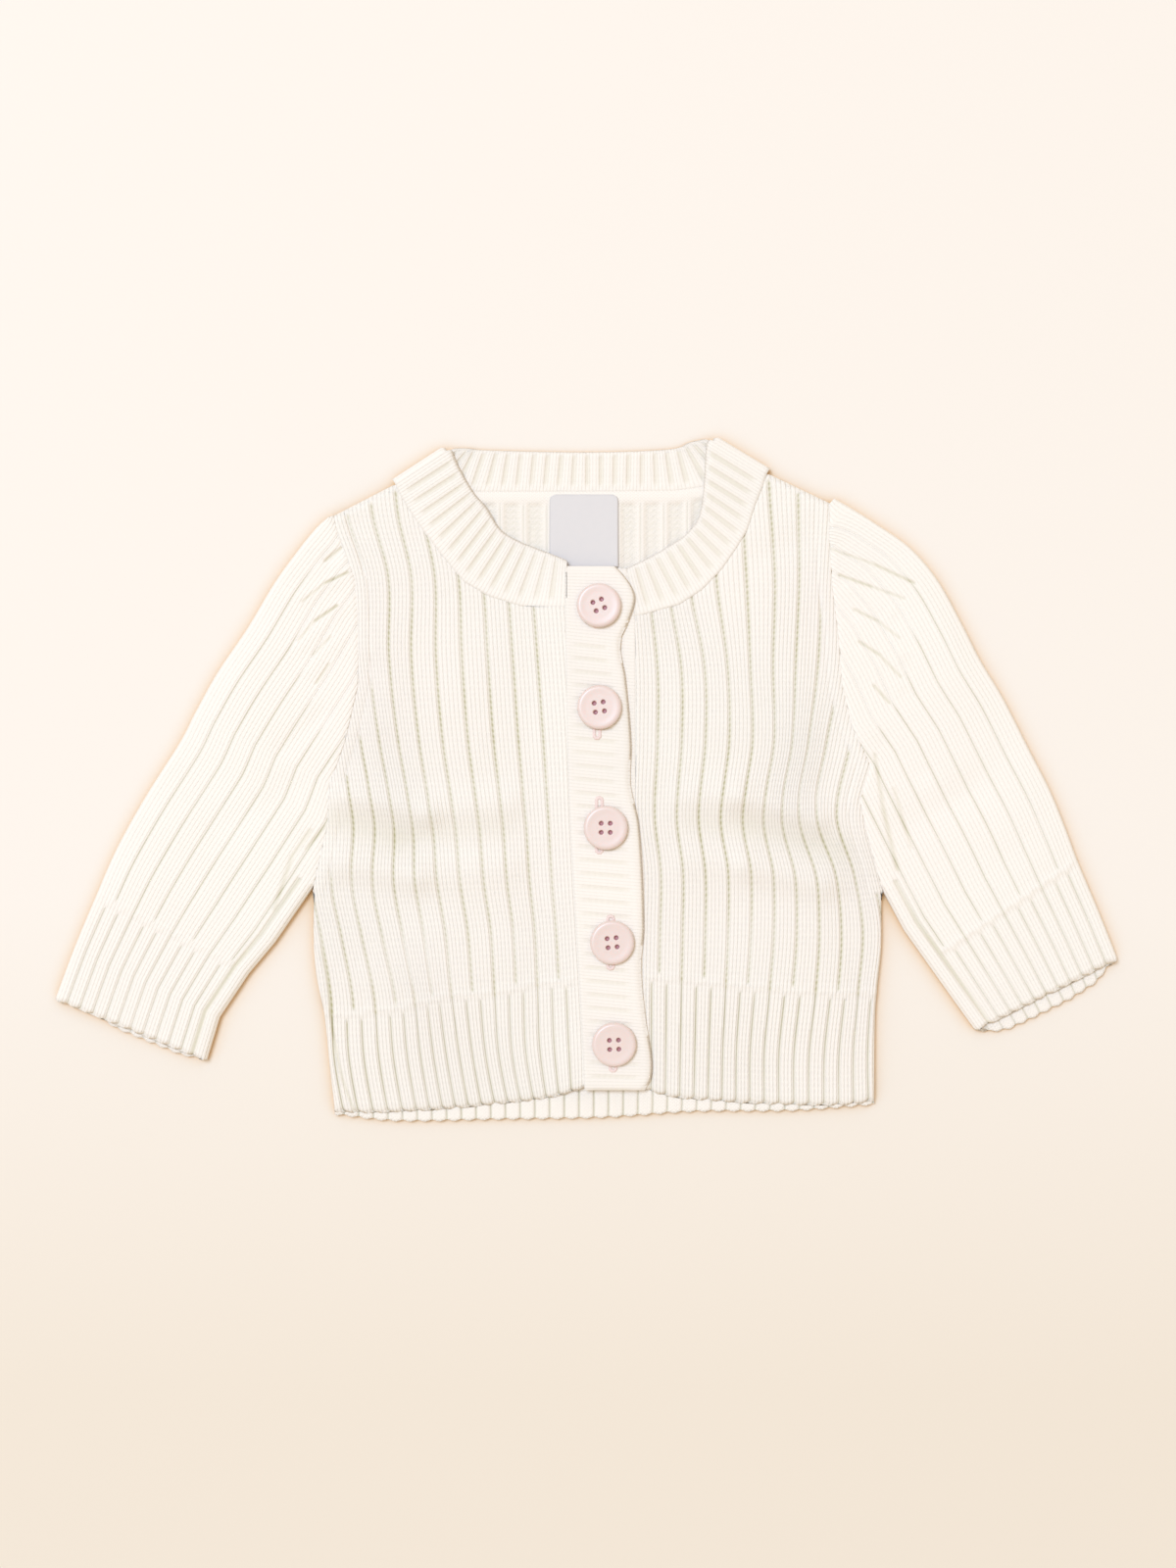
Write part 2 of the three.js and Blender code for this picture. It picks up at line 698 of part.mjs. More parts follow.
// The upper front band: ribs run across it between two plain strips.
function buttonholeBand() {
  const leftAt = follow(bandSeam, 'y', 'x');
  const rightAt = follow(bandFreeEdge, 'y', 'x');
  const [bottom, top] = [bandFreeEdge[0].y, bandFreeEdge.at(-1).y];
  const ribCount = Math.round((top - bottom) / bandRib);
  const base = layerRise * 2;
  const rows = [];
  for (let rib = 0; rib <= ribCount; rib += 1) {
    for (const part of [0, 0.22, 0.78]) {
      const y = bottom + ((rib + part) / ribCount) * (top - bottom);
      if (y > top + 1e-6) break;
      const left = leftAt(y) + seamGap / 2;
      const right = rightAt(y);
      const drop = part === 0 && rib > 0 && rib < ribCount ? ribDepth : 0;
      const point = (key, x, height) => ({ key, at: new THREE.Vector3(x, y, base + height) });
      const outer = [
        point(0, left, clothWall),
        point(0.2, left + bandEdge, clothWall - drop),
        point(0.8, right - bandEdge, clothWall - drop),
        point(1, right, clothWall),
      ];
      rows.push({ outer, inner: [point(0, left, 0), point(1, right, 0)] });
    }
  }
  return clothFrom(rows);
}

// The lower front band, under the other one and plain.
function buttonBand() {
  const leftAt = follow(bandSeam, 'y', 'x');
  const rightAt = corners(underBandSeam, 'y', 'x');
  const bottom = underBandSeam[0].y;
  const top = underBandSeam.at(-1).y;
  const levels = distinct([...levelsBetween(bottom, top), underBandSeam[1].y, top], 1);
  const rows = levels.map((y) => {
    const [left, right] = [leftAt(y) + underBandInset, rightAt(y)];
    const face = (z) => [
      { key: 0, at: new THREE.Vector3(left, y, z) },
      { key: 1, at: new THREE.Vector3(right, y, z) },
    ];
    return { outer: face(layerRise + clothWall), inner: face(layerRise) };
  });
  return clothFrom(rows);
}

// Buttons, with four holes cut through a turned disc
const wasm = await Module();
wasm.setup();

function toManifold(geometry) {
  const bare = geometry.clone();
  bare.deleteAttribute('normal');
  bare.deleteAttribute('uv');
  const merged = mergeVertices(bare, 1e-4);
  return new wasm.Manifold(new wasm.Mesh({
    numProp: 3,
    vertProperties: new Float32Array(merged.attributes.position.array),
    triVerts: new Uint32Array(merged.index.array),
  }));
}

function fromManifold(solid) {
  const mesh = solid.getMesh();
  const geometry = new THREE.BufferGeometry();
  geometry.setAttribute('position', new THREE.BufferAttribute(new Float32Array(mesh.vertProperties), 3));
  geometry.setIndex(new THREE.BufferAttribute(new Uint32Array(mesh.triVerts), 1));
  geometry.computeVertexNormals();
  return geometry;
}

function fourHoleButton() {
  const r = buttonRadius;
  const h = buttonThick;
  const profile = [
    [0, 0],
    [r * 0.84, 0],
    [r * 0.98, h * 0.25],
    [r, h * 0.5],
    [r * 0.95, h * 0.85],
    [r * 0.84, h],
    [r * 0.66, h * 0.84],
    [0, h * 0.76],
  ].map(([radius, height]) => new THREE.Vector2(radius, height));
  const disc = new THREE.LatheGeometry(profile, buttonSides).rotateX(Math.PI / 2);
  let solid = toManifold(disc);
  const turn = THREE.MathUtils.degToRad(buttonTurn);
  for (const [across, along] of [[-1, -1], [1, -1], [-1, 1], [1, 1]]) {
    const at = new THREE.Vector2(across, along).multiplyScalar(holeSpacing / 2);
    at.rotateAround(new THREE.Vector2(), turn);
    const drill = new THREE.CylinderGeometry(holeRadius, holeRadius, h * 3, holeSides);
    drill.rotateX(Math.PI / 2).translate(at.x, at.y, h / 2);
    solid = solid.subtract(toManifold(drill));
  }
  return fromManifold(solid);
}

function neckLabel() {
  const [w, l, c] = [labelWidth / 2, labelLength, labelCorner];
  const shape = new THREE.Shape();
  shape.moveTo(-w, -l);
  shape.lineTo(w, -l);
  shape.lineTo(w, -c);
  shape.absarc(w - c, -c, c, 0, Math.PI / 2, false);
  shape.lineTo(-w + c, 0);
  shape.absarc(-w + c, -c, c, Math.PI / 2, Math.PI, false);
  shape.closePath();
  return new THREE.ExtrudeGeometry(shape, { depth: labelThick, bevelEnabled: false, curveSegments: 4 });
}

// The garment
const cardigan = new THREE.Group();

function addPiece(name, geometry, material, position = [0, 0, 0]) {
  const piece = new THREE.Mesh(geometry, material);
  piece.name = name;
  piece.position.set(...position);
  cardigan.add(piece);
}

const frontLeft = {
  side: -1,
  grooves: groovesLeft,
  lastRib: 12,
  armhole: armholeLeft,
  neckLine: neckLineLeft,
  hem: hemLeft,
  bandEdgeAt: (y) => bandSeamAt(y) - seamGap / 2,
  outerEdge: outerEdgeLeft,
  climb: lap,
};
const underBandAt = corners(underBandSeam, 'y', 'x');
const frontRight = {
  side: 1,
  grooves: groovesRight,
  lastRib: 11,
  armhole: armholeRight,
  neckLine: neckLineRight,
  hem: hemRight,
  bandEdgeAt: (y) => underBandAt(y) + seamGap,
  outerEdge: outerEdgeRight,
  climb: () => 0,
};

addPiece('back', backPanel(), knitMaterial);
addPiece('front_left', frontPanel(frontLeft), knitMaterial);
addPiece('front_right', frontPanel(frontRight), knitMaterial);
addPiece('sleeve_left', sleeve(sleeveLeft, -1), knitMaterial);
addPiece('sleeve_right', sleeve(sleeveRight, 1), knitMaterial);
addPiece('neckband', neckband(), knitMaterial);
addPiece('button_band', buttonBand(), knitMaterial);
addPiece('buttonhole_band', buttonholeBand(), knitMaterial);
addPiece('neck_label', neckLabel(), labelMaterial, [labelMiddle, labelTop, layerRise]);
const buttonShape = fourHoleButton();
const bandTop = layerRise * 2 + clothWall + seamGap;
buttons.forEach(({ x, y }, i) => {
  addPiece(`button_${i + 1}`, buttonShape, buttonMaterial, [x, y, bandTop]);
});

export default cardigan;
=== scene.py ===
import math

import bmesh
import bpy
import numpy as np
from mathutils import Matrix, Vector


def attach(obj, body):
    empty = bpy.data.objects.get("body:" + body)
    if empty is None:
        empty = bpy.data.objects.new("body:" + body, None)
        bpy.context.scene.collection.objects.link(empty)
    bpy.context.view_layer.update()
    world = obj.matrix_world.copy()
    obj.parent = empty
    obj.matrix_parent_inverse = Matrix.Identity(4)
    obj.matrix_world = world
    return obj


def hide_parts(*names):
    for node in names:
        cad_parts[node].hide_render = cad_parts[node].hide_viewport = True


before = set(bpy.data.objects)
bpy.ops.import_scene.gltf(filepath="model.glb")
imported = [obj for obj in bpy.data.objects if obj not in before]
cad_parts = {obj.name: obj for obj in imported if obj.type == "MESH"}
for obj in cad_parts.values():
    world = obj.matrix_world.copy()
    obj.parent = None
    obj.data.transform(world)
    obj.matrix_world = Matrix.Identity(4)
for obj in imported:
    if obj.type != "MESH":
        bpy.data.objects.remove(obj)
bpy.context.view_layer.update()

# A baby cardigan in cream ribbed knit, laid flat on its back and buttoned.
# Everything is worked out in millimetres and becomes metres when a mesh is made.
# "Left" and "right" are the viewer's, looking down on it.
millimetre = 0.001
fullTurn = 2 * math.pi


def table(names, *rows):
    return dict(zip(names.split(), np.array(rows, float).T))


def reversedTable(rows):
    return {name: column[::-1] for name, column in rows.items()}


def ease(t):
    t = np.clip(t, 0, 1)
    return t * t * (3 - 2 * t)


def bell(distance, half):
    return np.exp(-((distance / half) ** 2))


def curveThrough(xs, ys):  # smooth, and straight on past its ends
    last = len(xs) - 1
    before = np.maximum(np.arange(last + 1) - 1, 0)
    after = np.minimum(np.arange(last + 1) + 1, last)
    slope = (ys[after] - ys[before]) / (xs[after] - xs[before])

    def at(x):
        x = np.asarray(x, float)
        i = np.clip(np.searchsorted(xs, x, "right") - 1, 0, last - 1)
        span = xs[i + 1] - xs[i]
        t = np.clip((x - xs[i]) / span, 0, 1)
        bend = slope[i] * span * t * (1 - t) ** 2 - slope[i + 1] * span * t * t * (1 - t)
        inside = ys[i] + (ys[i + 1] - ys[i]) * t * t * (3 - 2 * t) + bend
        return inside + slope[0] * np.minimum(x - xs[0], 0) + slope[-1] * np.maximum(x - xs[-1], 0)

    return at


def straightThrough(xs, ys):
    return lambda x: np.interp(x, xs, ys)


def follow(rows, a, b):
    return curveThrough(rows[a], rows[b])


def corners(rows, a, b):
    return straightThrough(rows[a], rows[b])


cloth = {
    "wall": 2.4,           # thickness over a rib
    "sleeveWall": 2.0,
    "layer": 2.7,          # one layer of cloth above the next
    "foldGap": 0.15,       # half of the gap inside a fold
    "course": 2.35,        # height of one row of stitches
    "columns": 6,          # stitches in one wide rib: five knit and one purl
    "narrow": 2 / 3,       # a hem or cuff rib beside a wide one: three knit and one purl
    "tip": 0.4,            # how far the ribs' ends stand out from a hem
    "tipReach": 5,         # and how far up from it they wave
    "hemRound": 1.6,       # how far in a hem rounds over
    "sideRound": 2.2,      # and a folded side
    "seamDip": 0.45,       # the valley along a seam, and its half width
    "seamHalf": 1.1,
    "seamLap": 0.4,        # one piece lies over the next at a seam
    "droop": 0.3,          # how far a free edge sinks onto the layer below
    "droopReach": 3.0,
}
# How deep the purl column between two ribs lies, its half width in wide ribs, how far its stitches fill it,
# how much painted shade it gets, and the depth of the lines between knit columns
ribStyles = {
    "body": {"groove": 1.3, "half": 0.05, "bead": 0.5, "tint": 0.92, "column": 0.2},
    "hem": {"groove": 1.1, "half": 0.03, "bead": 0.1, "tint": 0.65, "column": 0.08},
    "sleeve": {"groove": 0.8, "half": 0.026, "bead": 0.1, "tint": 0.55, "column": 0.04},
    "cuff": {"groove": 1.0, "half": 0.03, "bead": 0.05, "tint": 0.45, "column": 0.06},
    "neck": {"groove": 0.9, "half": 0.11, "bead": 0.1, "tint": 0.24, "column": 0.03},
    "band": {"groove": 0.4, "half": 0.08, "bead": 0.4, "tint": 0.2, "column": 0.02},
}
# Where wide ribs change to narrow ones, a low ridge and a furrow run along: rise, place and half width
ribChange = {
    "reach": 9,            # the mesh follows both kinds of rib this near to the line
    "head": 0.5,           # half the height of a narrow rib's rounded head
    "fade": 1.5,
    "ridge": (0.4, -0.8, 1.4),
    "furrow": (0.2, 1.2, 1.0),
}
gridHalf = {1: 0.05, cloth["narrow"]: 0.028}  # half width of the finer part of the mesh along each groove
gridClear = 0.02                              # no point lies closer than this to an end of its row
sidePoints = np.array((0.02, 0.1, 0.3, 0.6, 1))  # points on a rounded side, as shares of its rounding
halfCourse = cloth["course"] / 2
foldHeight = cloth["layer"] - cloth["foldGap"]

# Soft swells where the top layer stands off the one below
swells = table(
    "x y wide tall rise",
    (-52, 32, 32, 36, 1.7), (-58, -78, 34, 36, 1.6), (60, 30, 32, 38, 1.7), (68, -78, 32, 36, 1.5),
    (-138, 38, 26, 38, 1.5), (-172, -34, 24, 30, 1.3), (142, 46, 26, 38, 1.5), (176, -28, 24, 30, 1.3),
)
# Patches where the ribs are drawn so tight that their grooves close up; there the grooves get less painted
# shade
quiet = table(
    "x y wide tall rise",
    (-68, -74, 17, 14, 0.75), (-92, 88, 9, 12, 0.4), (66, -66, 16, 12, 0.45), (90, -2, 10, 12, 0.4),
    (-30, -66, 9, 9, 0.3),
)
flatBand = {"middle": 8.5, "half": 18, "fade": 16}  # the front bands lie flat

# Creases and ridges in the top layer: ends, half width, and how far they rise
bodyCreases = table(
    "ax ay bx by wide rise",
    (-97, -20, -70, -27, 6, -0.5), (-66, -26, -30, -23, 8, -0.3), (-96, -6, -66, -13, 7, 3.2),
    (-60, -12, -32, -10, 7, 1.8), (-98, -34, -70, -39, 7.5, 2.6), (-66, -39, -32, -36, 7.5, 1.4),
    (42, -20, 60, -19, 7, -0.3), (60, -20, 92, -29, 6, -0.5), (38, -7, 60, -6, 7, 1.7),
    (64, -7, 94, -15, 7, 3.2), (66, -35, 96, -42, 7.5, 2.6), (40, -34, 62, -34, 7.5, 1.2),
    (-88, 44, -98, -2, 6, -0.7), (-80, 60, -84, 22, 7, 0.5), (103, 20, 96, -10, 7, -0.7),
    (92, 66, 98, 28, 5, -0.5), (84, 40, 90, 4, 7, 0.5), (-100, -46, -92, -72, 6, -0.6),
    (-66, -50, -40, -58, 10, -0.4), (106, -50, 112, -84, 6, -0.6), (50, -56, 78, -48, 10, -0.4),
    (-72, 96, -92, 104, 6, -0.5), (70, 90, 92, 100, 6, -0.5), (-34, 40, -38, 4, 8, -0.35),
    (40, 36, 44, 0, 8, -0.35),
)
# Where the crease across both fronts is in shade
waist = table(
    "ax ay bx by wide rise",
    (-104, -16, -78, -24, 6, 0.12), (-76, -24, -34, -20, 5, 0.08), (44, -18, 68, -20, 5, 0.08),
    (68, -20, 104, -29, 6, 0.12),
)
sleeveCreases = table(
    "ax ay bx by wide rise",
    (-105.4, 88.8, -99, 94, 2.0, -0.6), (-116, 74, -99, 83, 3.2, 0.5), (-116, 54, -100, 70, 3.2, 0.5),
    (-113, 44, -101, 57, 3.0, 0.4), (-124, 12, -108, 26, 4.0, -0.6), (-150, -22, -120, -4, 7.0, -0.6),
    (-186, -16, -160, -40, 8.0, -0.4), (-170, 6, -150, -16, 7.0, -0.3), (108, 78, 124, 68, 3.2, 0.5),
    (113, 64, 128, 50, 3.2, 0.5), (114, 52, 128, 38, 3.0, 0.4), (122, 14, 136, 2, 5.0, -0.6),
    (130, -20, 158, -4, 7.0, -0.6), (170, -34, 194, -12, 8.0, -0.4), (150, -10, 172, 10, 7.0, -0.3),
)
# Short sharp puckers where a sleeve is eased into its armhole or gathers under the arm
puckers = table(
    "ax ay bx by wide rise",
    (-106.2, 89.2, -99.8, 94.4, 0.55, -0.6), (-115.4, 72.4, -106.2, 80, 0.55, -0.35),
    (-106.2, 80, -97, 84.4, 0.55, -0.7), (-117, 56.8, -110.6, 64.4, 0.55, -0.3),
    (-110.6, 64.4, -101.4, 70.8, 0.55, -0.7), (-111, 50.8, -104, 58, 0.55, -0.3),
    (-109.8, 39.2, -104.6, 46.8, 0.55, -0.5), (-127, -53.2, -119.8, -31.6, 0.8, -0.45),
    (-119.8, -31.6, -112.2, -20.8, 0.7, -0.45), (-113.8, -28.4, -106.2, -19.2, 0.7, -0.4),
    (99.8, 94, 118, 87.6, 0.55, -0.4), (118, 87.6, 134, 80, 0.55, -0.6),
    (103.8, 83.2, 117, 78.4, 0.55, -0.7), (117, 78.4, 130, 73.6, 0.55, -0.4),
    (109.8, 69.2, 119, 64.6, 0.55, -0.6), (119, 64.6, 128, 57.6, 0.55, -0.35),
    (111.8, 56, 120, 50.6, 0.55, -0.6), (120, 50.6, 128.6, 41.6, 0.55, -0.4),
    (117.8, 38, 124, 31, 0.55, -0.5), (118.2, 10, 121.6, -12, 0.8, -0.4),
    (121.6, -12, 127.4, -37, 0.8, -0.5), (126, -4, 133, -28, 0.7, -0.3),
)


def swellAt(x, y, bulges=swells):
    off = 0
    for middleX, middleY, wide, tall, rise in zip(*bulges.values()):
        off = off + rise * np.exp(-(((x - middleX) / wide) ** 2) - ((y - middleY) / tall) ** 2)
    return off


def eachCrease(creases, x, y):
    for ax, ay, bx, by, wide, rise in zip(*creases.values()):
        dx, dy = bx - ax, by - ay
        t = np.clip(((x - ax) * dx + (y - ay) * dy) / (dx * dx + dy * dy), 0, 1)
        away = (x - ax - t * dx) ** 2 + (y - ay - t * dy) ** 2
        yield rise * np.exp(-away / wide**2)


def creaseAt(creases, x, y):
    return sum(eachCrease(creases, x, y))


def puckerAt(x, y):  # puckers don't add up where they meet
    return np.minimum.reduce(list(eachCrease(puckers, x, y)))


def bodyLoft(x, y):
    offTheBand = ease((np.abs(x - flatBand["middle"]) - flatBand["half"]) / flatBand["fade"])
    return (swellAt(x, y) + creaseAt(bodyCreases, x, y)) * offTheBand


def sleeveLoft(x, y):
    return swellAt(x, y) + creaseAt(sleeveCreases, x, y)


# Depth of the groove between ribs and of the lines between columns, and how much painted shade the groove
# gets
def ribRelief(key, courses, pitch, style):
    style = ribStyles[style]
    away = np.abs(key / pitch - np.round(key / pitch)) * pitch
    groove = bell(away, style["half"])
    bead = 0.5 + 0.5 * np.cos(fullTurn * courses)
    column = 0.5 - 0.5 * np.cos(fullTurn * cloth["columns"] * key)
    depth = groove * style["groove"] * (1 - style["bead"] * bead) + (1 - groove) * column * style["column"]
    return depth, groove * (1 - 1.2 * style["bead"] * bead) * style["tint"]


# Wide ribs above a line and narrow ones below it. Every second wide groove runs on into a narrow one,
# and the others stop short of the line, above a narrow rib's rounded head.
def mixedRelief(key, courses, belowLine, wideStyle="body", narrowStyle="hem"):
    head, fade = ribChange["head"], ribChange["fade"]
    shared = np.abs(key - 2 * np.round(key / 2)) < 0.2
    belowLine = belowLine - head * np.cos(fullTurn * key / cloth["narrow"])
    wide = np.where(shared, ease(head - belowLine), ease(-belowLine / fade - 0.6))
    narrow = np.where(shared, ease(head + belowLine), ease(belowLine / fade - head))
    wideDepth, wideGroove = ribRelief(key, courses, 1.0, wideStyle)
    hemDepth, hemGroove = ribRelief(key, courses, cloth["narrow"], narrowStyle)
    lines = ribChange["ridge"], ribChange["furrow"]
    ridge, furrow = (rise * bell(belowLine - at, half) for rise, at, half in lines)
    return wideDepth * wide + hemDepth * narrow - (ridge - furrow), wideGroove * wide + hemGroove * narrow


def pitchesAt(place, line):  # of the ribs there: narrow, both or wide
    if abs(place - line) > ribChange["reach"]:
        return [1] if place > line else [cloth["narrow"]]
    return [1, cloth["narrow"]]


# The places across a row where the mesh has points: two for each column, and more at the grooves
def gridKeys(start, end, pitches, halves=gridHalf, step=0.5 / cloth["columns"]):
    keys = [np.arange(math.ceil(start / step), math.floor(end / step) + 1) * step]
    for pitch in pitches:
        lines = np.arange(math.floor(start / pitch), math.ceil(end / pitch) + 1) * pitch
        keys += [lines - halves[pitch], lines + halves[pitch]]
    keys = np.unique(np.round(np.concatenate(keys), 6))
    return keys[(keys > start + gridClear) & (keys < end - gridClear)]


def withEnds(start, keys, end):
    return np.concatenate(([start], keys, [end]))


def levelsOf(start, end, extra, nearest=0.3):  # rows half a course apart, and at every extra level
    fine = np.arange(start, end, halfCourse)
    extra = [y for y in extra if start < y < end]
    fine = [y for y in fine if all(abs(y - other) > nearest for other in extra)]
    return sorted([*fine, *extra, end])


def scallop(key, fromEdge):  # each narrow rib ends in a rounded tip
    return cloth["tip"] * np.cos(fullTurn * key / cloth["narrow"]) * ease(1 - fromEdge / cloth["tipReach"])


def roundOver(distance, reach):  # 0 at the very edge and 1 from the reach inwards
    return np.sqrt(np.clip(1 - (1 - np.clip(distance / reach, 0, 1)) ** 2, 0, 1))


def hemRoundOver(distance):  # leaves a thin edge, so that both skins stay apart
    return roundOver(distance + 0.02, cloth["hemRound"])


def seamValley(distance):
    return cloth["seamDip"] * bell(distance, cloth["seamHalf"])


def droopAt(distance):
    return cloth["droop"] * ease(1 - distance / cloth["droopReach"])


# A row holds one line for each point: key, x, y, z, column, course, groove (how much painted shade it gets)
def makeRow(key, x, y, z, column, course, groove=0.0):
    return np.column_stack(np.broadcast_arrays(key, x, y, z, column, course, groove)).astype(float)


def joinRows(faces, keysA, indexA, keysB, indexB):  # in the order of their keys
    i = j = 0
    lastA, lastB = len(keysA) - 1, len(keysB) - 1
    while i < lastA or j < lastB:
        nextA = keysA[i + 1] if i < lastA else math.inf
        nextB = keysB[j + 1] if j < lastB else math.inf
        if abs(nextA - nextB) < 1e-6:
            faces.append((indexA[i], indexA[i + 1], indexB[j + 1], indexB[j]))
            i += 1
            j += 1
        elif nextA < nextB:
            faces.append((indexA[i], indexA[i + 1], indexB[j]))
            i += 1
        else:
            faces.append((indexA[i], indexB[j + 1], indexB[j]))
            j += 1


def numberRows(rows, first):
    numbered = []
    for level, row in rows:
        numbered.append((level, row[:, 0].tolist(), list(range(first, first + len(row)))))
        first += len(row)
    return numbered, first


# A closed wall: an outer and an inner skin, joined along both ends and both sides.
# The sides of the rows below openFrom meet by themselves.
def clothWall(name, outer, inner, materials, openFrom=-math.inf):
    outerRows, count = numberRows(outer, 0)
    innerRows, _ = numberRows(inner, count)
    outerFaces, innerFaces, edgeFaces = [], [], []
    for rows, faces in ((outerRows, outerFaces), (innerRows, innerFaces)):
        for (_, keysA, indexA), (_, keysB, indexB) in zip(rows, rows[1:]):
            joinRows(faces, keysA, indexA, keysB, indexB)
    for end in (0, -1):
        (_, keysA, indexA), (_, keysB, indexB) = outerRows[end], innerRows[end]
        joinRows(edgeFaces, keysA, indexA, keysB, indexB)
        sides = []
        for rows in (outerRows, innerRows):
            kept = [(level, index[end]) for level, _, index in rows if level >= openFrom - 1e-6]
            sides.append(([level for level, _ in kept], [index for _, index in kept]))
        joinRows(edgeFaces, *sides[0], *sides[1])
    points = np.vstack([row for _, row in outer + inner])
    return clothPiece(name, points, outerFaces + edgeFaces, innerFaces, materials)


def newPiece(name, data):
    piece = bpy.data.objects.new(name, data)
    bpy.context.collection.objects.link(piece)
    return piece


def newMesh(name, points, faces, materials):
    mesh = bpy.data.meshes.new(name)
    mesh.from_pydata((points * millimetre).tolist(), [], faces)
    mesh.polygons.foreach_set("use_smooth", [True] * len(faces))
    for material in materials:
        mesh.materials.append(material)
    return mesh


# The first material is on the outer faces and the last one on the inner faces
def clothPiece(name, points, faces, innerFaces, materials):
    mesh = newMesh(name, points[:, 1:4], faces + innerFaces, materials)
    corner = np.empty(len(mesh.loops), int)
    mesh.loops.foreach_get("vertex_index", corner)
    mesh.uv_layers.new(name="stitches").data.foreach_set("uv", points[corner][:, 4:6].ravel())
    # the groove attribute holds how much painted shade each point gets
    mesh.attributes.new("groove", "FLOAT", "POINT").data.foreach_set("value", points[:, 6])
    mesh.polygons.foreach_set("material_index", [0] * len(faces) + [len(materials) - 1] * len(innerFaces))
    bm = bmesh.new()
    bm.from_mesh(mesh)
    bmesh.ops.remove_doubles(bm, verts=bm.verts, dist=0.004 * millimetre)
    bmesh.ops.dissolve_degenerate(bm, edges=bm.edges, dist=0.001 * millimetre)
    bmesh.ops.recalc_face_normals(bm, faces=bm.faces)
    bm.to_mesh(mesh)
    bm.free()
    return newPiece(name, mesh)


def newMaterial(name, color, roughness):
    material = bpy.data.materials.new(name)
    material.use_nodes = True
    shader = material.node_tree.nodes["Principled BSDF"]
    shader.inputs["Base Color"].default_value = (*color, 1)
    shader.inputs["Roughness"].default_value = roughness
    return material, material.node_tree, shader


def mathNode(tree, operation, a, b=None, c=None):
    node = tree.nodes.new("ShaderNodeMath")
    node.operation = operation
    for socket, value in zip(node.inputs, (a, b, c)):
        if isinstance(value, (int, float)):
            socket.default_value = value
        elif value is not None:
            tree.links.new(value, socket)
    return node.outputs[0]


def ramp(tree, value, gain, offset):  # held between 0 and 1
    out = mathNode(tree, "MULTIPLY_ADD", value, gain, offset)
    out.node.use_clamp = True
    return out


def wave(tree, value):
    return mathNode(tree, "SINE", value)


def times(tree, a, b):
    return mathNode(tree, "MULTIPLY", a, b)


def noiseAt(tree, scale, detail):
    node = tree.nodes.new("ShaderNodeTexNoise")
    node.inputs["Scale"].default_value = scale
    node.inputs["Detail"].default_value = detail
    tree.links.new(tree.nodes.new("ShaderNodeTexCoord").outputs["Object"], node.inputs["Vector"])
    return node.outputs["Fac"]


def splitXYZ(tree, vector):
    node = tree.nodes.new("ShaderNodeSeparateXYZ")
    tree.links.new(vector, node.inputs["Vector"])
    return node.outputs["X"], node.outputs["Y"]


def placeOn(tree):
    return splitXYZ(tree, tree.nodes.new("ShaderNodeTexCoord").outputs["Object"])


def attributeOf(tree, name):
    node = tree.nodes.new("ShaderNodeAttribute")
    node.attribute_name = name
    return node.outputs["Fac"]


def mixColor(tree, amount, a, b):
    node = tree.nodes.new("ShaderNodeMix")
    node.data_type = "RGBA"
    tree.links.new(amount, node.inputs["Factor"])
    for socket, value in ((node.inputs["A"], a), (node.inputs["B"], b)):
        if isinstance(value, tuple):
            socket.default_value = (*value, 1)
        else:
            tree.links.new(value, socket)
    return node.outputs["Result"]


def paint(tree, shader, color):
    tree.links.new(color, shader.inputs["Base Color"])


def bump(tree, shader, height, distance, strength):
    node = tree.nodes.new("ShaderNodeBump")
    node.inputs["Distance"].default_value = distance * millimetre
    node.inputs["Strength"].default_value = strength
    tree.links.new(height, node.inputs["Height"])
    tree.links.new(node.outputs["Normal"], shader.inputs["Normal"])


yarn = {
    "color": (0.878, 0.828, 0.768),
    "shade": (0.865, 0.805, 0.738),  # where the yarn lies a little darker
    "band": (0.785, 0.73, 0.68),     # the front bands
    "neck": (0.845, 0.79, 0.735),    # the neckband
    "inside": (0.87, 0.805, 0.74),
    "blush": (0.885, 0.805, 0.75),   # large faint patches
    "deep": (0.46, 0.42, 0.23),      # painted shade down in the grooves
    "between": (0.66, 0.63, 0.50),   # painted shade between two columns of stitches
    "gapTint": 0.11,                 # how strong the painted shade on the lines between columns is
    "sunkTint": {"knit": 0.06, "purl": 0.1},  # and on the low parts of the stitches
    "stitchHeight": 0.4,             # millimetres
    "slant": 0.55,                   # how far a knit stitch's legs climb, in rows
    "loop": 0.35,                    # how far one stitch stands out from the next
    "arc": 0.18,                     # bend of a purl row, in rows
    "fuzz": 0.5,
    "bumpStrength": 0.8,
    "roughness": 0.92,
    "sheen": 0.15,
    "sheenRoughness": 0.6,
    "specular": 0.2,
}
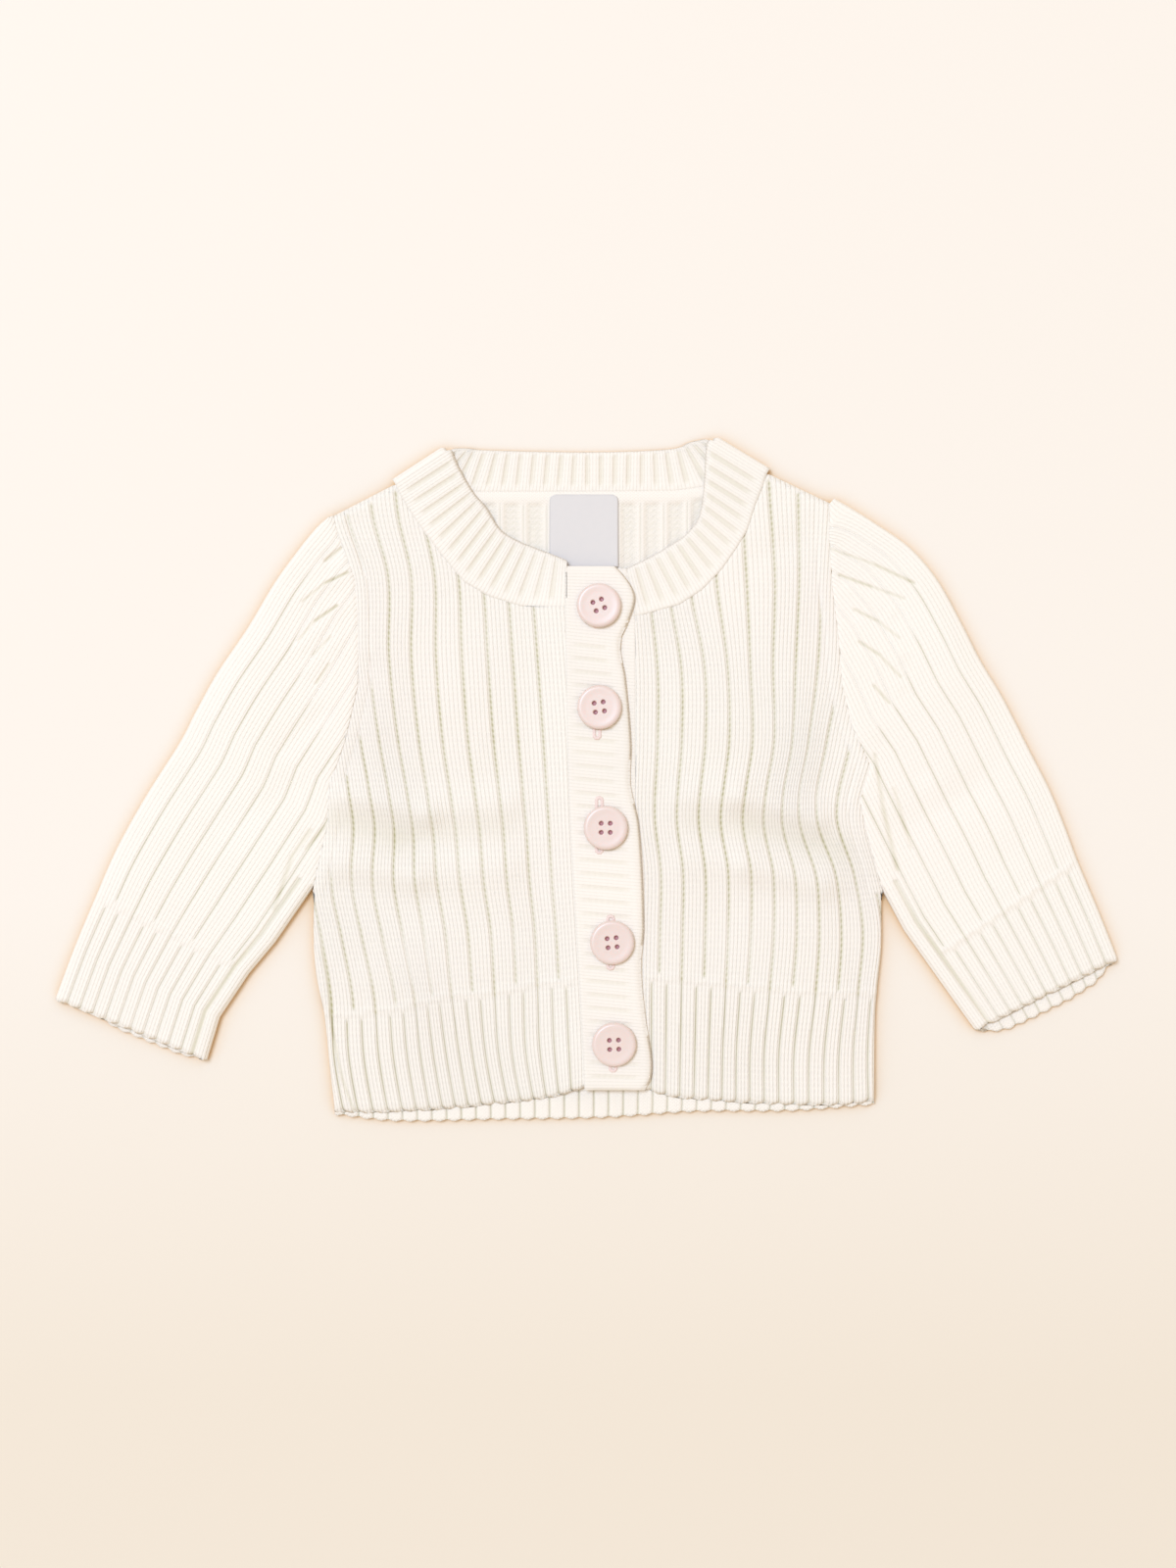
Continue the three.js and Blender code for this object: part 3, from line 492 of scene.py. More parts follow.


# Knit stitches stand as a V in each column, and purl ones as rows of arcs. Grooves, the lines between
# columns and the stitches' low parts get painted shade.
def yarnMaterial(
    name, color=yarn["color"], stitchHeight=yarn["stitchHeight"], gapTint=yarn["gapTint"], purl=False
):
    material, tree, shader = newMaterial(name, color, yarn["roughness"])
    shader.inputs["Sheen Weight"].default_value = yarn["sheen"]
    shader.inputs["Sheen Roughness"].default_value = yarn["sheenRoughness"]
    shader.inputs["Specular IOR Level"].default_value = yarn["specular"]
    stitches = tree.nodes.new("ShaderNodeUVMap")
    stitches.uv_map = "stitches"
    column, course = splitXYZ(tree, stitches.outputs["UV"])
    across = mathNode(tree, "FRACT", mathNode(tree, "ADD", column, 0.5))
    leg = times(tree, mathNode(tree, "ABSOLUTE", mathNode(tree, "SUBTRACT", across, 0.5)), 2)
    if purl:
        arc = times(tree, wave(tree, times(tree, column, fullTurn)), yarn["arc"])
        bumps = wave(tree, times(tree, mathNode(tree, "ADD", course, arc), fullTurn))
        height = mathNode(tree, "ABSOLUTE", bumps)
    else:
        slant = mathNode(tree, "SUBTRACT", course, times(tree, leg, yarn["slant"]))
        loop = wave(tree, times(tree, mathNode(tree, "FRACT", slant), math.pi))
        strand = wave(tree, mathNode(tree, "MULTIPLY_ADD", leg, 0.7 * math.pi, 0.3 * math.pi))
        height = times(tree, mathNode(tree, "MULTIPLY_ADD", loop, yarn["loop"], 1 - yarn["loop"]), strand)
    uneven = mathNode(tree, "MULTIPLY_ADD", noiseAt(tree, 26, 2), 1.5, 0.25)
    grooveDipAndShade = ramp(tree, attributeOf(tree, "groove"), uneven, 0.0)
    relief = times(tree, height, mathNode(tree, "SUBTRACT", 1.0, grooveDipAndShade))
    fuzzy = mathNode(tree, "MULTIPLY_ADD", noiseAt(tree, 2600, 3), yarn["fuzz"], relief)
    bump(tree, shader, fuzzy, stitchHeight, yarn["bumpStrength"])
    blushed = mixColor(tree, ramp(tree, noiseAt(tree, 11, 1), 2.0, -0.7), color, yarn["blush"])
    mottled = mixColor(tree, noiseAt(tree, 55, 4), blushed, yarn["shade"])
    # painted shade on the lines between columns and on the low parts of the stitches
    gapShade = times(tree, mathNode(tree, "POWER", leg, 4), 0.0 if purl else gapTint)
    low = mathNode(tree, "SUBTRACT", 1.0, height)
    stitchShade = mathNode(tree, "MULTIPLY_ADD", low, yarn["sunkTint"]["purl" if purl else "knit"], gapShade)
    shaded = mixColor(tree, stitchShade, mottled, yarn["between"])
    # painted shade down in the grooves, by the groove attribute
    paint(tree, shader, mixColor(tree, grooveDipAndShade, shaded, yarn["deep"]))
    return material


knit = yarnMaterial("cream_knit")
sleeveKnit = yarnMaterial("cream_knit_sleeve", stitchHeight=0.28, gapTint=0.06)
reverse = yarnMaterial("cream_knit_reverse", yarn["inside"], stitchHeight=0.15, purl=True)
neckKnit = yarnMaterial("cream_knit_neckband", yarn["neck"], stitchHeight=0.24)
bandKnit = yarnMaterial("cream_knit_band", yarn["band"], stitchHeight=0.16)


def knitPiece(piece, node):
    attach(piece, "root")
    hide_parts(node)
    print(piece.name, "made with", len(piece.data.polygons), "faces")


neckband = {
    "rib": 5.5,
    "frontLeft": table(
        "seamX seamY freeX freeY",
        (-7.6, 70.2, -7.6, 89.2), (-26, 70.8, -18.2, 93.6), (-39, 74.8, -27, 97.2),
        (-49.4, 80.8, -34.6, 102), (-57.8, 90.8, -40.6, 111.2), (-65.4, 100.8, -45.4, 116.8),
        (-71.8, 110, -49.8, 124), (-75.8, 116.8, -53.4, 131.2), (-77.4, 120.8, -54.6, 135.6),
    ),
    "back": table(
        "seamX seamY freeX freeY",
        (-77.4, 120.8, -54.6, 135.6), (-63, 117.6, -47.8, 135.6), (-45, 118, -39, 134.8), (1, 118, 1, 134),
        (37, 118.4, 33.8, 135.2), (57, 121.2, 42.6, 138), (73.8, 125.2, 49.8, 139.6),
    ),
    "frontRight": table(
        "seamX seamY freeX freeY",
        (73.8, 125.2, 49.8, 139.6), (71.8, 118.8, 49, 132.8), (69, 112, 48.6, 124.4),
        (65.8, 102, 47.8, 114.8), (61, 94, 46.2, 106.8), (55.4, 86, 41.8, 100.8), (47.4, 77.6, 35.8, 96.4),
        (38.2, 71.6, 27.8, 91.6), (20.2, 66.6, 16.4, 86),
    ),
    "across": 20,          # points across it
    "seamStrip": 0.17,     # plain share along the seam
    "freeStrip": 0.1,
    "edgeRound": 1.9,
    "corner": 2.4,         # how far its corners are rounded
    "valley": 0.45,        # share of a seam's valley
    "besideFold": 9,       # it settles this far beside a fold
    "underside": {0: 0.7, 1: 0.2},  # how deep the grooves are underneath, at the back and in front
    "foldSteps": 12,
    "flat": (0.405, 0.021),
}
bandSeam = table("y x", (-127, 0), (-82, -2.2), (-42, -4.6), (-2, -6.6), (38, -7.4), (87, -8.2))
bandSeamAt = follow(bandSeam, "y", "x")
lapRun = 18  # the left front climbs onto the lower band over this run


def lap(x, y):
    return cloth["layer"] * ease(1 - (bandSeamAt(y) - x) / lapRun)


def noLap(x, y):
    return 0


def cornerAt(distance):  # how far the band draws in beside a fold
    corner = neckband["corner"]
    return corner * (1 - math.sqrt(1 - max(0, 1 - distance / corner) ** 2))


# Length along the middle between two edges, at fine steps of their rows
def sampledRun(number, firstX, firstY, secondX, secondY):
    fine = np.linspace(0, number[-1], number[-1] * 20 + 1)
    middleX, middleY = (firstX(fine) + secondX(fine)) / 2, (firstY(fine) + secondY(fine)) / 2
    steps = np.hypot(np.diff(middleX), np.diff(middleY))
    return fine, np.concatenate(([0], np.cumsum(steps)))


# One stretch, with whole ribs along it. layer is 1 in front and 0 at the back.
def neckStretch(rows, layer, climb, folds, travelled):
    number = np.arange(len(rows["seamX"]))
    seamX, seamY = (straightThrough(number, rows[c]) for c in ("seamX", "seamY"))
    freeX, freeY = (curveThrough(number, rows[c]) for c in ("freeX", "freeY"))
    fine, run = sampledRun(number, seamX, seamY, freeX, freeY)
    wall, narrow = cloth["wall"], cloth["narrow"]
    last = round(run[-1] / neckband["rib"]) * narrow
    share = np.linspace(0, 1, neckband["across"])
    outer, inner = [], []
    for key in withEnds(0, gridKeys(0, last, [narrow]), last):
        here = key / last * run[-1]
        n = np.interp(here, run, fine)
        width = math.hypot(freeX(n) - seamX(n), freeY(n) - seamY(n))
        fromFold = min(here if folds[0] else math.inf, run[-1] - here if folds[1] else math.inf)
        low, high = -cloth["seamLap"] / width, 1 - cornerAt(fromFold) / width
        reach = low + (high - low) * share
        x = seamX(n) + (freeX(n) - seamX(n)) * reach
        y = seamY(n) + (freeY(n) - seamY(n)) * reach
        course = share * width / cloth["course"]
        depth, groove = ribRelief(key, course, narrow, "neck")
        plain = ease(share / neckband["seamStrip"] - 0.4) * ease((1 - share) / neckband["freeStrip"] - 0.3)
        plain = plain * ease(min(key, last - key) / narrow * 2.4 - 0.3)
        depth = depth * plain
        edge = roundOver((1 - share) * width, neckband["edgeRound"])
        beside = ease(fromFold / neckband["besideFold"])
        rise = (bodyLoft(x, y) * beside + climb(x, y) - droopAt((1 - share) * width) * beside) * layer
        middle = cloth["layer"] * layer + wall / 2 + rise
        top = middle + (wall / 2 - depth - seamValley(share * width) * neckband["valley"]) * edge
        bottom = middle - (wall / 2 - depth * neckband["underside"][layer]) * edge
        column = (travelled + key) * cloth["columns"]
        faces = [makeRow(share, x, y, z, column, course, groove * plain) for z in (top, bottom)]
        outer.append(faces[0 if layer else 1])
        inner.append(faces[1 if layer else 0])
    return outer, inner, travelled + last


# The band turns over at a shoulder, round the end of its fold
def neckFold(section, side, backwards, travelled):
    seam, free = np.array(section[:2]), np.array(section[2:])
    run = (free - seam) / math.hypot(*(free - seam))
    seam = seam - run * cloth["seamLap"]
    free = free - run * neckband["corner"]
    width = math.hypot(*(free - seam))
    out = side * np.array((run[1], -run[0]))
    share = np.linspace(0, 1, neckband["across"])
    flat = seam + (free - seam) * share[:, None]
    edge = roundOver((1 - share) * width, neckband["edgeRound"])
    centre = (foldHeight + cloth["foldGap"]) / 2
    angles = np.linspace(0, math.pi, neckband["foldSteps"] + 2)[1:-1]
    outer, inner = [], []
    for number, angle in enumerate(reversed(angles) if backwards else angles):
        for rows, radius in ((outer, foldHeight), (inner, cloth["foldGap"])):
            reach = centre + (radius - centre) * edge
            x = flat[:, 0] + out[0] * math.sin(angle) * reach
            y = flat[:, 1] + out[1] * math.sin(angle) * reach
            z = foldHeight + math.cos(angle) * reach
            column = (travelled + number / len(angles) * cloth["narrow"]) * cloth["columns"]
            rows.append(makeRow(share, x, y, z, column, share * width / cloth["course"]))
    return outer, inner, travelled + cloth["narrow"]


def makeNeckband():
    back = neckband["back"]
    first, last = ([back[c][i] for c in ("seamX", "seamY", "freeX", "freeY")] for i in (0, -1))
    outer, inner, travelled = [], [], 0
    for make, arguments in (
        (neckStretch, (neckband["frontLeft"], 1, lap, (False, True))),
        (neckFold, (first, -1, False)),
        (neckStretch, (back, 0, noLap, (True, True))),
        (neckFold, (last, 1, True)),
        (neckStretch, (neckband["frontRight"], 1, noLap, (True, False))),
    ):
        newOuter, newInner, travelled = make(*arguments, travelled)
        outer += newOuter
        inner += newInner
    piece = clothWall("ribbed_neckband", list(enumerate(outer)), list(enumerate(inner)), [neckKnit])
    knitPiece(piece, "neckband")


armholeLeft = table(
    "x y",
    (-111, -43.6), (-105, -18), (-104.2, -2), (-98.2, 15.6), (-93, 38), (-92.6, 62), (-94, 80.8),
    (-97.4, 90.8), (-101.2, 100.8), (-103, 107.6),
)
armholeRight = table(
    "x y",
    (121, -44.8), (115, -24), (111.8, -8.8), (116.2, 5.2), (109, 20.8), (104.6, 38), (103, 59.2),
    (100.6, 77.6), (99.6, 94), (99.4, 102), (99.8, 112.8),
)
sideLeft = table(
    "y x",
    (-136, -101.4), (-122, -103), (-106, -105), (-90, -106.8), (-74, -110.4), (-58, -111.4), (-43.6, -111),
)
sideRight = table(
    "y x",
    (-132, 118.2), (-106, 118.2), (-90, 118.6), (-78, 119.8), (-66, 121), (-44.8, 121),
)
hemBottom = -126
hemTop = -88
bowTop = -20  # rows of knitting bow with the hem up to here


def neckEdgeOf(rows):
    return {"x": rows["seamX"], "y": rows["seamY"]}


def bodyEdge(side, armhole, neckLine):
    xs = np.append(armhole["x"], neckLine["x"][-1])
    ys = np.append(armhole["y"], neckLine["y"][-1])
    lower = follow(side, "y", "x")
    return lambda y: float(lower(y)) if y < ys[0] else float(np.interp(y, ys, xs))


def bowAt(height):
    return min(1, max(0, (bowTop - height) / (bowTop - hemBottom)))


neckLineLeft = neckEdgeOf(neckband["frontLeft"])
neckLineRight = neckEdgeOf(reversedTable(neckband["frontRight"]))
neckLineBack = neckEdgeOf(neckband["back"])
outerEdgeLeft = bodyEdge(sideLeft, armholeLeft, neckLineLeft)
outerEdgeRight = bodyEdge(sideRight, armholeRight, neckLineRight)
underBandSeam = table("y x", (-126, 20.6), (66.4, 20.2), (86, 16.4))
underBandSeamAt = corners(underBandSeam, "y", "x")

# In the tables of grooves, each column says where one groove crosses each level
frontLeft = {
    "side": -1,
    "grooves": table(
        "y 0 3 6 9 12",
        (-130, -0.6, -23, -47, -71, -98), (-106, -1, -27.2, -51.4, -75.4, -102.6),
        (-82, -2.2, -28.2, -54.6, -77.8, -104), (-60, -3.5, -29.4, -57, -83, -108),
        (-42, -4.6, -31.8, -60.2, -86.6, -112), (-17, -5.8, -33.8, -62.6, -86.2, -113),
        (15, -7, -37.4, -67.8, -91.8, -116), (50, -9.6, -39.8, -71, -97, -122),
        (82, -12.4, -42, -71, -98.8, -124), (106, -16, -46, -76.2, -107, -135),
        (121, -19, -49, -78, -110, -138),
    ),
    "hem": table(
        "x y",
        (-101.4, -136), (-88, -136.4), (-57, -134.8), (-37, -132.8), (-16, -130.4), (-1, -126),
    ),
    "ribEnds": table("x y", (-97, -96.8), (-75, -94), (-59, -89.6), (-39, -88), (-21, -84.4), (-10, -83.2)),
    "armhole": armholeLeft,
    "neckLine": neckLineLeft,
    "innerEdge": bandSeamAt,
    "outerEdge": outerEdgeLeft,
    "climb": lap,
    "sideSeam": table(
        "y x",
        (-136, -94.2), (-121.6, -99.4), (-106, -102.6), (-98, -103.8), (-82, -105.4), (-65.2, -108.6),
    ),
    "flat": (0.112, 0.262),
    "area": 0.0226,
}
frontRight = {
    "side": 1,
    "grooves": table(
        "y 0 3 6 9 11",
        (-126, 21, 47.2, 73, 100.4, 118.6), (-106, 21, 47.6, 73, 100.6, 118.2),
        (-84, 21, 48.2, 75, 103, 119.4), (-60, 21.4, 49, 77, 104.6, 121.8),
        (-38, 21.8, 49, 76.6, 102.2, 117), (-15, 19.4, 46.2, 72.6, 94.2, 111.4),
        (15, 19.8, 49, 77, 98.6, 119), (46, 19.8, 48.6, 76.6, 104.2, 123), (82, 17, 42.2, 77.4, 105.8, 125),
        (114, 9, 41, 75.4, 109.8, 131),
    ),
    "hem": table("x y", (21, -126), (34, -129.6), (44, -130.8), (75, -132.8), (106, -133.2), (118, -131.6)),
    "ribEnds": table("x y", (28, -81.2), (48, -83.2), (66, -85.2), (85, -86.8), (103, -88)),
    "armhole": armholeRight,
    "neckLine": neckLineRight,
    "innerEdge": underBandSeamAt,
    "outerEdge": outerEdgeRight,
    "climb": noLap,
    "flat": (0.106, 0.262),
    "area": 0.0212,
}
front = {
    "sideFade": 14,         # its swells end this near a folded side
    "strip": 5.4,           # the knitting is shaped along the armhole in a strip this wide
    "stripHalf": 0.6,       # half width and depth of the line beside it
    "stripDip": 0.45,
    "seamDip": 0.5,         # depth, painted shade and half width of the side seam where it shows, up to its end
    "seamTint": 0.3,
    "seamHalf": 0.6,
    "seamEnd": -64,
    "neckValley": 0.6,      # shares of a seam's valley along the neckband and the front band
    "bandValley": 0.12,
    "shoulderFade": 6,
    "keyRange": (-3, 18, 400),
    "innerPoints": 14,      # the inner skin has fewer points
    "innerEvery": 6,
}


def makeFront(name, node, panel):
    side, grooves, strip = panel["side"], panel["grooves"], front["strip"]
    numbers = [c for c in grooves if c != "y"]
    grooveLines = [follow(grooves, "y", c) for c in numbers]
    ribNumbers = np.array([float(c) for c in numbers])
    neckLine, armhole = panel["neckLine"], panel["armhole"]
    neckStart, underarm = neckLine["y"][0], armhole["y"][0]
    tipX, tipY = neckLine["x"][-1], neckLine["y"][-1]
    shoulder = (tipY - armhole["y"][-1]) / (tipX - armhole["x"][-1])
    hemAt, ribEndsAt = follow(panel["hem"], "x", "y"), corners(panel["ribEnds"], "x", "y")
    neckAt = corners(neckLine, "y", "x")
    seamAt = follow(panel["sideSeam"], "y", "x") if "sideSeam" in panel else None
    levels = levelsOf(hemBottom, tipY - 0.5, [neckStart - 0.05, *neckLine["y"][:-1], *armhole["y"]])
    fine = np.linspace(*front["keyRange"])
    outer, inner = [], []
    for number, height in enumerate(levels):
        line = curveThrough(ribNumbers, np.array([float(at(height)) for at in grooveLines]))
        across = side * line(fine)
        inX = float(panel["innerEdge"](height) if height < neckStart else neckAt(height))
        outX = panel["outerEdge"](height)
        folded = height < underarm - 1
        if not folded:
            outX += side * cloth["seamLap"]
        start, end = (float(np.interp(side * x, across, fine)) for x in (inX, outX))

        def place(key, x, drop, share):
            y = height + (hemAt(x) - hemBottom) * bowAt(height) + scallop(key, height - hemBottom)
            away = np.abs(x - outX)
            if folded:
                rise = bodyLoft(x, y) * ease(away / front["sideFade"]) + panel["climb"](x, y)
                top = cloth["wall"] * roundOver(away, cloth["sideRound"])
            else:
                rise = bodyLoft(x, y) + panel["climb"](x, y)
                top = cloth["wall"] - seamValley(away)
                shaped = ease((strip + front["stripHalf"] - away) / (2 * front["stripHalf"]))
                drop = drop * (1 - shaped) + front["stripDip"] * bell(away - strip, front["stripHalf"])
            valley = front["neckValley" if height > neckStart else "bandValley"]
            top = (top - seamValley(np.abs(x - inX)) * valley) * hemRoundOver(height - hemBottom)
            fromShoulder = np.maximum(tipY + (x - tipX) * shoulder - y, 0) / math.hypot(1, shoulder)
            top = top * roundOver(fromShoulder + 0.02, cloth["sideRound"])
            rise = (rise - droopAt(height - hemBottom)) * ease(fromShoulder / front["shoulderFade"])
            return y, cloth["layer"] + rise - droopAt(fromShoulder) + np.maximum(top - drop, 0) * share

        def rowOf(keys, xs, y, z, groove=0.0):
            return makeRow(keys, xs, y, z, keys * cloth["columns"], height / cloth["course"], groove)

        keys = gridKeys(start, end, pitchesAt(height, hemTop))
        xs = line(keys)
        if folded:
            rounds = outX - side * cloth["sideRound"] * sidePoints
            keys = np.concatenate((keys, np.interp(side * rounds, across, fine)))
            xs = np.concatenate((xs, rounds))
            order = np.argsort(keys)
            keys, xs = keys[order], xs[order]
        keys, xs = withEnds(start, keys, end), withEnds(inX, xs, outX)
        y, _ = place(keys, xs, 0, 1)
        depth, groove = mixedRelief(keys, height / cloth["course"], ribEndsAt(xs) - y)
        inRib = ease(keys * 2.5 - 0.3)  # no groove along the inner edge
        depth, groove = depth * inRib, groove * inRib
        # the side seam dips and gets painted shade
        if seamAt and folded:
            seam = bell(xs - seamAt(y), front["seamHalf"]) * ease((front["seamEnd"] - y) / 8)
            depth, groove = depth + front["seamDip"] * seam, groove + front["seamTint"] * seam
        if not folded:
            # the grooves' painted shade fades along the armhole strip and in the quiet patches, and the
            # waist crease gets painted shade
            groove = groove * ease((np.abs(xs - outX) - strip) / (2 * front["stripHalf"]))
        groove = groove * (1 - swellAt(xs, y, quiet)) + creaseAt(waist, xs, y)
        y, z = place(keys, xs, depth, 1)
        outer.append((number, rowOf(keys, xs, y, z, groove)))
        onLine = height in armhole["y"] or height in neckLine["y"] or number == len(levels) - 1
        if onLine or number % front["innerEvery"] == 0:
            keys = start + (end - start) * np.linspace(0, 1, front["innerPoints"])
            xs = withEnds(inX, line(keys[1:-1]), outX)
            y, z = place(keys, xs, 0, 0)
            inner.append((number, rowOf(keys, xs, y, z)))
    piece = clothWall(name, outer, inner, [knit, reverse])
    knitPiece(piece, node)


back = {
    "hem": table(
        "x y",
        (-101, -137.4), (-78, -139.8), (-37, -139.2), (8, -138.4), (44, -136), (85, -135.6), (117, -133.2),
    ),
    "ribMiddle": 3.4,       # a groove runs up here
    "ribPitch": table("y pitch", (-130, 9.0), (-60, 9.4), (0, 9.5), (120, 9.6)),
    "bowEnd": 102.0,        # above it the rows follow the neck and the shoulders
    "fineBelow": -116,      # the inside is knitted out where it shows: along the hem and in the neck
    "fineAbove": 78,
    "knitHalf": 0.2,        # half width of the knit column that stands up on the inside, and of its middle
    "middleHalf": 0.035,
    "inside": {"knit": 1.0, "middle": 0.5, "purl": 0.3, "low": 0.75},
    # painted shade on the inside: in the purl, along its rows, and down a knit column's middle
    "insideTint": {"purl": 0.1, "rows": 0.3, "middle": 0.2},
    "tape": 6.0,            # a plain strip covers the neck seam on the inside
    "tapeRise": 0.6,
    "innerPoints": 28,
    "innerEvery": 8,
    # soft dents in the underside
    "creases": table(
        "ax ay bx by wide rise",
        (-98, -14, -40, -24, 7, 0.7), (-30, -26, 30, -22, 8, 0.5), (44, -20, 108, -12, 7, 0.7),
        (-94, 70, -70, 40, 7, 0.6), (98, 66, 74, 36, 7, 0.6), (-96, -60, -60, -74, 8, 0.5),
        (112, -64, 70, -76, 8, 0.5), (-30, 96, 30, 94, 9, 0.4),
    ),
    "flat": (0.232, 0.263),
    "area": 0.0525,
}


def insideOfBack(keys, course, below):  # its relief, and how much painted shade it gets
    relief, tint = back["inside"], back["insideTint"]
    off = np.abs(keys - np.round(keys))
    column = np.exp(-((off / back["knitHalf"]) ** 4))
    middle = bell(off, back["middleHalf"])
    rows = relief["purl"] * np.cos(fullTurn * (course + 0.25 * np.sin(math.pi * cloth["columns"] * keys)))
    rise = column * relief["knit"] - relief["middle"] * middle + (1 - column) * rows - relief["low"]
    tape = ease((back["tape"] - below) / 1.2)
    tapeRise = back["tapeRise"] * np.sin(math.pi * np.clip(below / back["tape"], 0, 1)) - 0.2
    groove = ((1 - column) * (tint["purl"] - tint["rows"] * rows) + tint["middle"] * middle) * (1 - tape)
    return rise * (1 - tape) + tape * tapeRise, groove


def makeBack():
    hemAt = follow(back["hem"], "x", "y")
    pitchAt = corners(back["ribPitch"], "y", "pitch")
    topX, topY = (withEnds(armholeLeft[c][-1], neckLineBack[c], armholeRight[c][-1]) for c in ("x", "y"))
    topAt = straightThrough(topX, topY)
    underarm, bowEnd, wall = armholeRight["y"][0], back["bowEnd"], cloth["wall"]
    corner = [*armholeLeft["y"], *armholeRight["y"]]
    steps = round((topY.max() - bowEnd) / halfCourse)
    plan = [(height, 0.0) for height in levelsOf(hemBottom, bowEnd, corner)]
    plan += [(bowEnd, step / steps) for step in range(1, steps + 1)]
    outer, inner = [], []
    for number, (height, up) in enumerate(plan):
        left, right = outerEdgeLeft(height), outerEdgeRight(height)
        if up:
            left, right = left + (topX[0] - left) * up, right + (topX[-1] - right) * up
        pitch = float(pitchAt(height))
        folded = height < underarm - 1
        start, end = (left - back["ribMiddle"]) / pitch, (right - back["ribMiddle"]) / pitch

        def rowAt(keys, under):
            xs = back["ribMiddle"] + keys * pitch
            xs[0], xs[-1] = left, right
            ys = height + (hemAt(xs) - hemBottom) * bowAt(height) + scallop(keys, height - hemBottom)
            if up:
                ys = bowEnd + (topAt(xs) - bowEnd) * up
            course = (ys if up else height) / cloth["course"]
            depth, groove = mixedRelief(keys, course, hemTop - np.full_like(keys, height))
            away = np.minimum(xs - left, right - xs)
            below = topAt(xs) - ys
            if under:
                z = np.maximum(depth, 0) + creaseAt(back["creases"], xs, ys) * ease(away / 6)
                if folded:
                    z = np.maximum(z, wall * (1 - roundOver(away, cloth["sideRound"])))
                z = np.maximum(z, wall * (1 - hemRoundOver(height - hemBottom)))
                if up:  # the shoulders round over, but not the seam of the neckband
                    onShoulder = (xs < topX[1]) | (xs > topX[-2])
                    fromTop = np.where(onShoulder, (below + 0.02) * 0.9, cloth["sideRound"])
                    z = np.maximum(z, wall * (1 - roundOver(fromTop, cloth["sideRound"])))
            elif height < back["fineBelow"]:
                z = wall - depth * 0.9
            else:
                relief, groove = insideOfBack(keys, course, below)
                z = wall + relief * ease(away / 2)
            return makeRow(keys, xs, ys, z, keys * cloth["columns"], course, groove)

        keys = gridKeys(start, end, [cloth["narrow"]] if height < hemTop else [1])
        if folded:
            rounds = cloth["sideRound"] / pitch * sidePoints
            keys = np.sort(np.concatenate((keys, start + rounds, end - rounds)))
        keys = withEnds(start, keys, end)
        outer.append((number, rowAt(keys, True)))
        shown = height < back["fineBelow"] or height > back["fineAbove"]
        if not shown:
            keys = np.linspace(start, end, back["innerPoints"])
        if shown or number % back["innerEvery"] == 0 or height in corner:
            inner.append((number, rowAt(keys, False)))
    piece = clothWall("knit_back", outer, inner, [knit, reverse])
    knitPiece(piece, "back")


sleeveLeft = {
    "side": -1,
    "rows": table(
        "outerX outerY innerX innerY ribs",
        (-217, -90, -155, -115.2, 8), (-209, -68.6, -149.6, -97.4, 8), (-200.4, -48, -137.6, -79.4, 8),
        (-191.6, -28, -127, -66.8, 8), (-179.8, -6.8, -111, -43.6, 8), (-166, 15, -105, -18, 7.1),
        (-159.6, 27.4, -104.2, -2, 6.6), (-150.6, 43.6, -98.2, 15.6, 6.1), (-138.2, 62, -93, 38, 5.3),
        (-127.2, 80.4, -92.6, 62, 4.1), (-117.2, 94.2, -94, 80.8, 2.8), (-112.6, 100, -97.4, 90.8, 1.8),
        (-108.6, 104.4, -101.2, 100.8, 0.9), (-105.8, 106.6, -103, 107.6, 0.4),
    ),
    # how far the under layer stands out past the cuff
    "peek": table("reach out", (0, 0), (20, 0.4), (28, 1.8), (56, 1.8), (66, 0)),
    # the head has no ribs inside this line, so there the grooves' painted shade fades
    "head": table("y x", (8, -106), (20, -110), (38, -118), (55, -121), (74, -119), (94, -113)),
}
sleeveRight = {
    "side": 1,
    "peek": table(
        "reach out",
        (0, 0), (5, 1.2), (12, 4.6), (25, 6), (43, 6), (53, 5.6), (58, 4), (63, 1.6), (66, 0),
    ),
    "head": table("y x", (6, 117), (18, 121), (38, 133), (58, 137), (78, 136), (94, 130)),
    "rows": table(
        "outerX outerY innerX innerY ribs",
        (217.8, -73.6, 159.4, -102.8, 8), (210, -54, 150.6, -90.6, 8), (201.4, -33.6, 139.8, -75.4, 8),
        (196, -19, 130, -61.6, 8), (189.8, -4, 121, -44.8, 8), (181.8, 11.6, 115, -24, 7.6),
        (175, 25.2, 111.8, -8.8, 7.2), (169.8, 35, 116.2, 5.2, 6.2), (161.4, 49, 109, 20.8, 5.9),
        (154, 63.6, 104.6, 38, 5.6), (144.2, 81.2, 103, 59.2, 4.7), (133, 94.4, 100.6, 77.6, 3.7),
        (118.6, 104.6, 99.6, 94, 2.2), (108.4, 111, 99.4, 102, 1.1), (101.8, 114.8, 99.8, 112.8, 0.4),
    ),
}
sleeve = {
    "cuffRow": 2,
    "closedRows": 4,        # the underarm is closed up to this row
    "headRow": 6,           # from here on the mesh is finer
    "peekReach": 22,
    "headFrom": 8,
    "headFade": 0.85,       # how far the grooves' painted shade fades inside the head
    "foldFade": 9,          # its swells end this near the folded edge, and the closed one
    "closedFade": 14,
    "roll": 6.4,            # a plain roll along the underarm edge, with a dip and painted shade along the line beside it
    "rollHalf": 0.8,
    "rollDip": 0.9,
    "rollTint": 0.45,
    "rollRise": 0.3,
    # painted shade in the puckers
    "puckerTint": 0.7,
    "underDent": 0.7,       # creases press into the under side as well
    "underGroove": 0.8,
    "foldTurn": 75,         # degrees of the fold that have points, up and down
    "ribbedInside": 9,      # the inside of the cuff is knitted out over this run
    "closing": 3,           # the sleeve closes over this run, where its head ends
    "closedGap": 0.06,
    "grid": {1: 0.03, cloth["narrow"]: 0.03},
    "flat": (0.156, 0.238),
    "area": 0.0262,
}


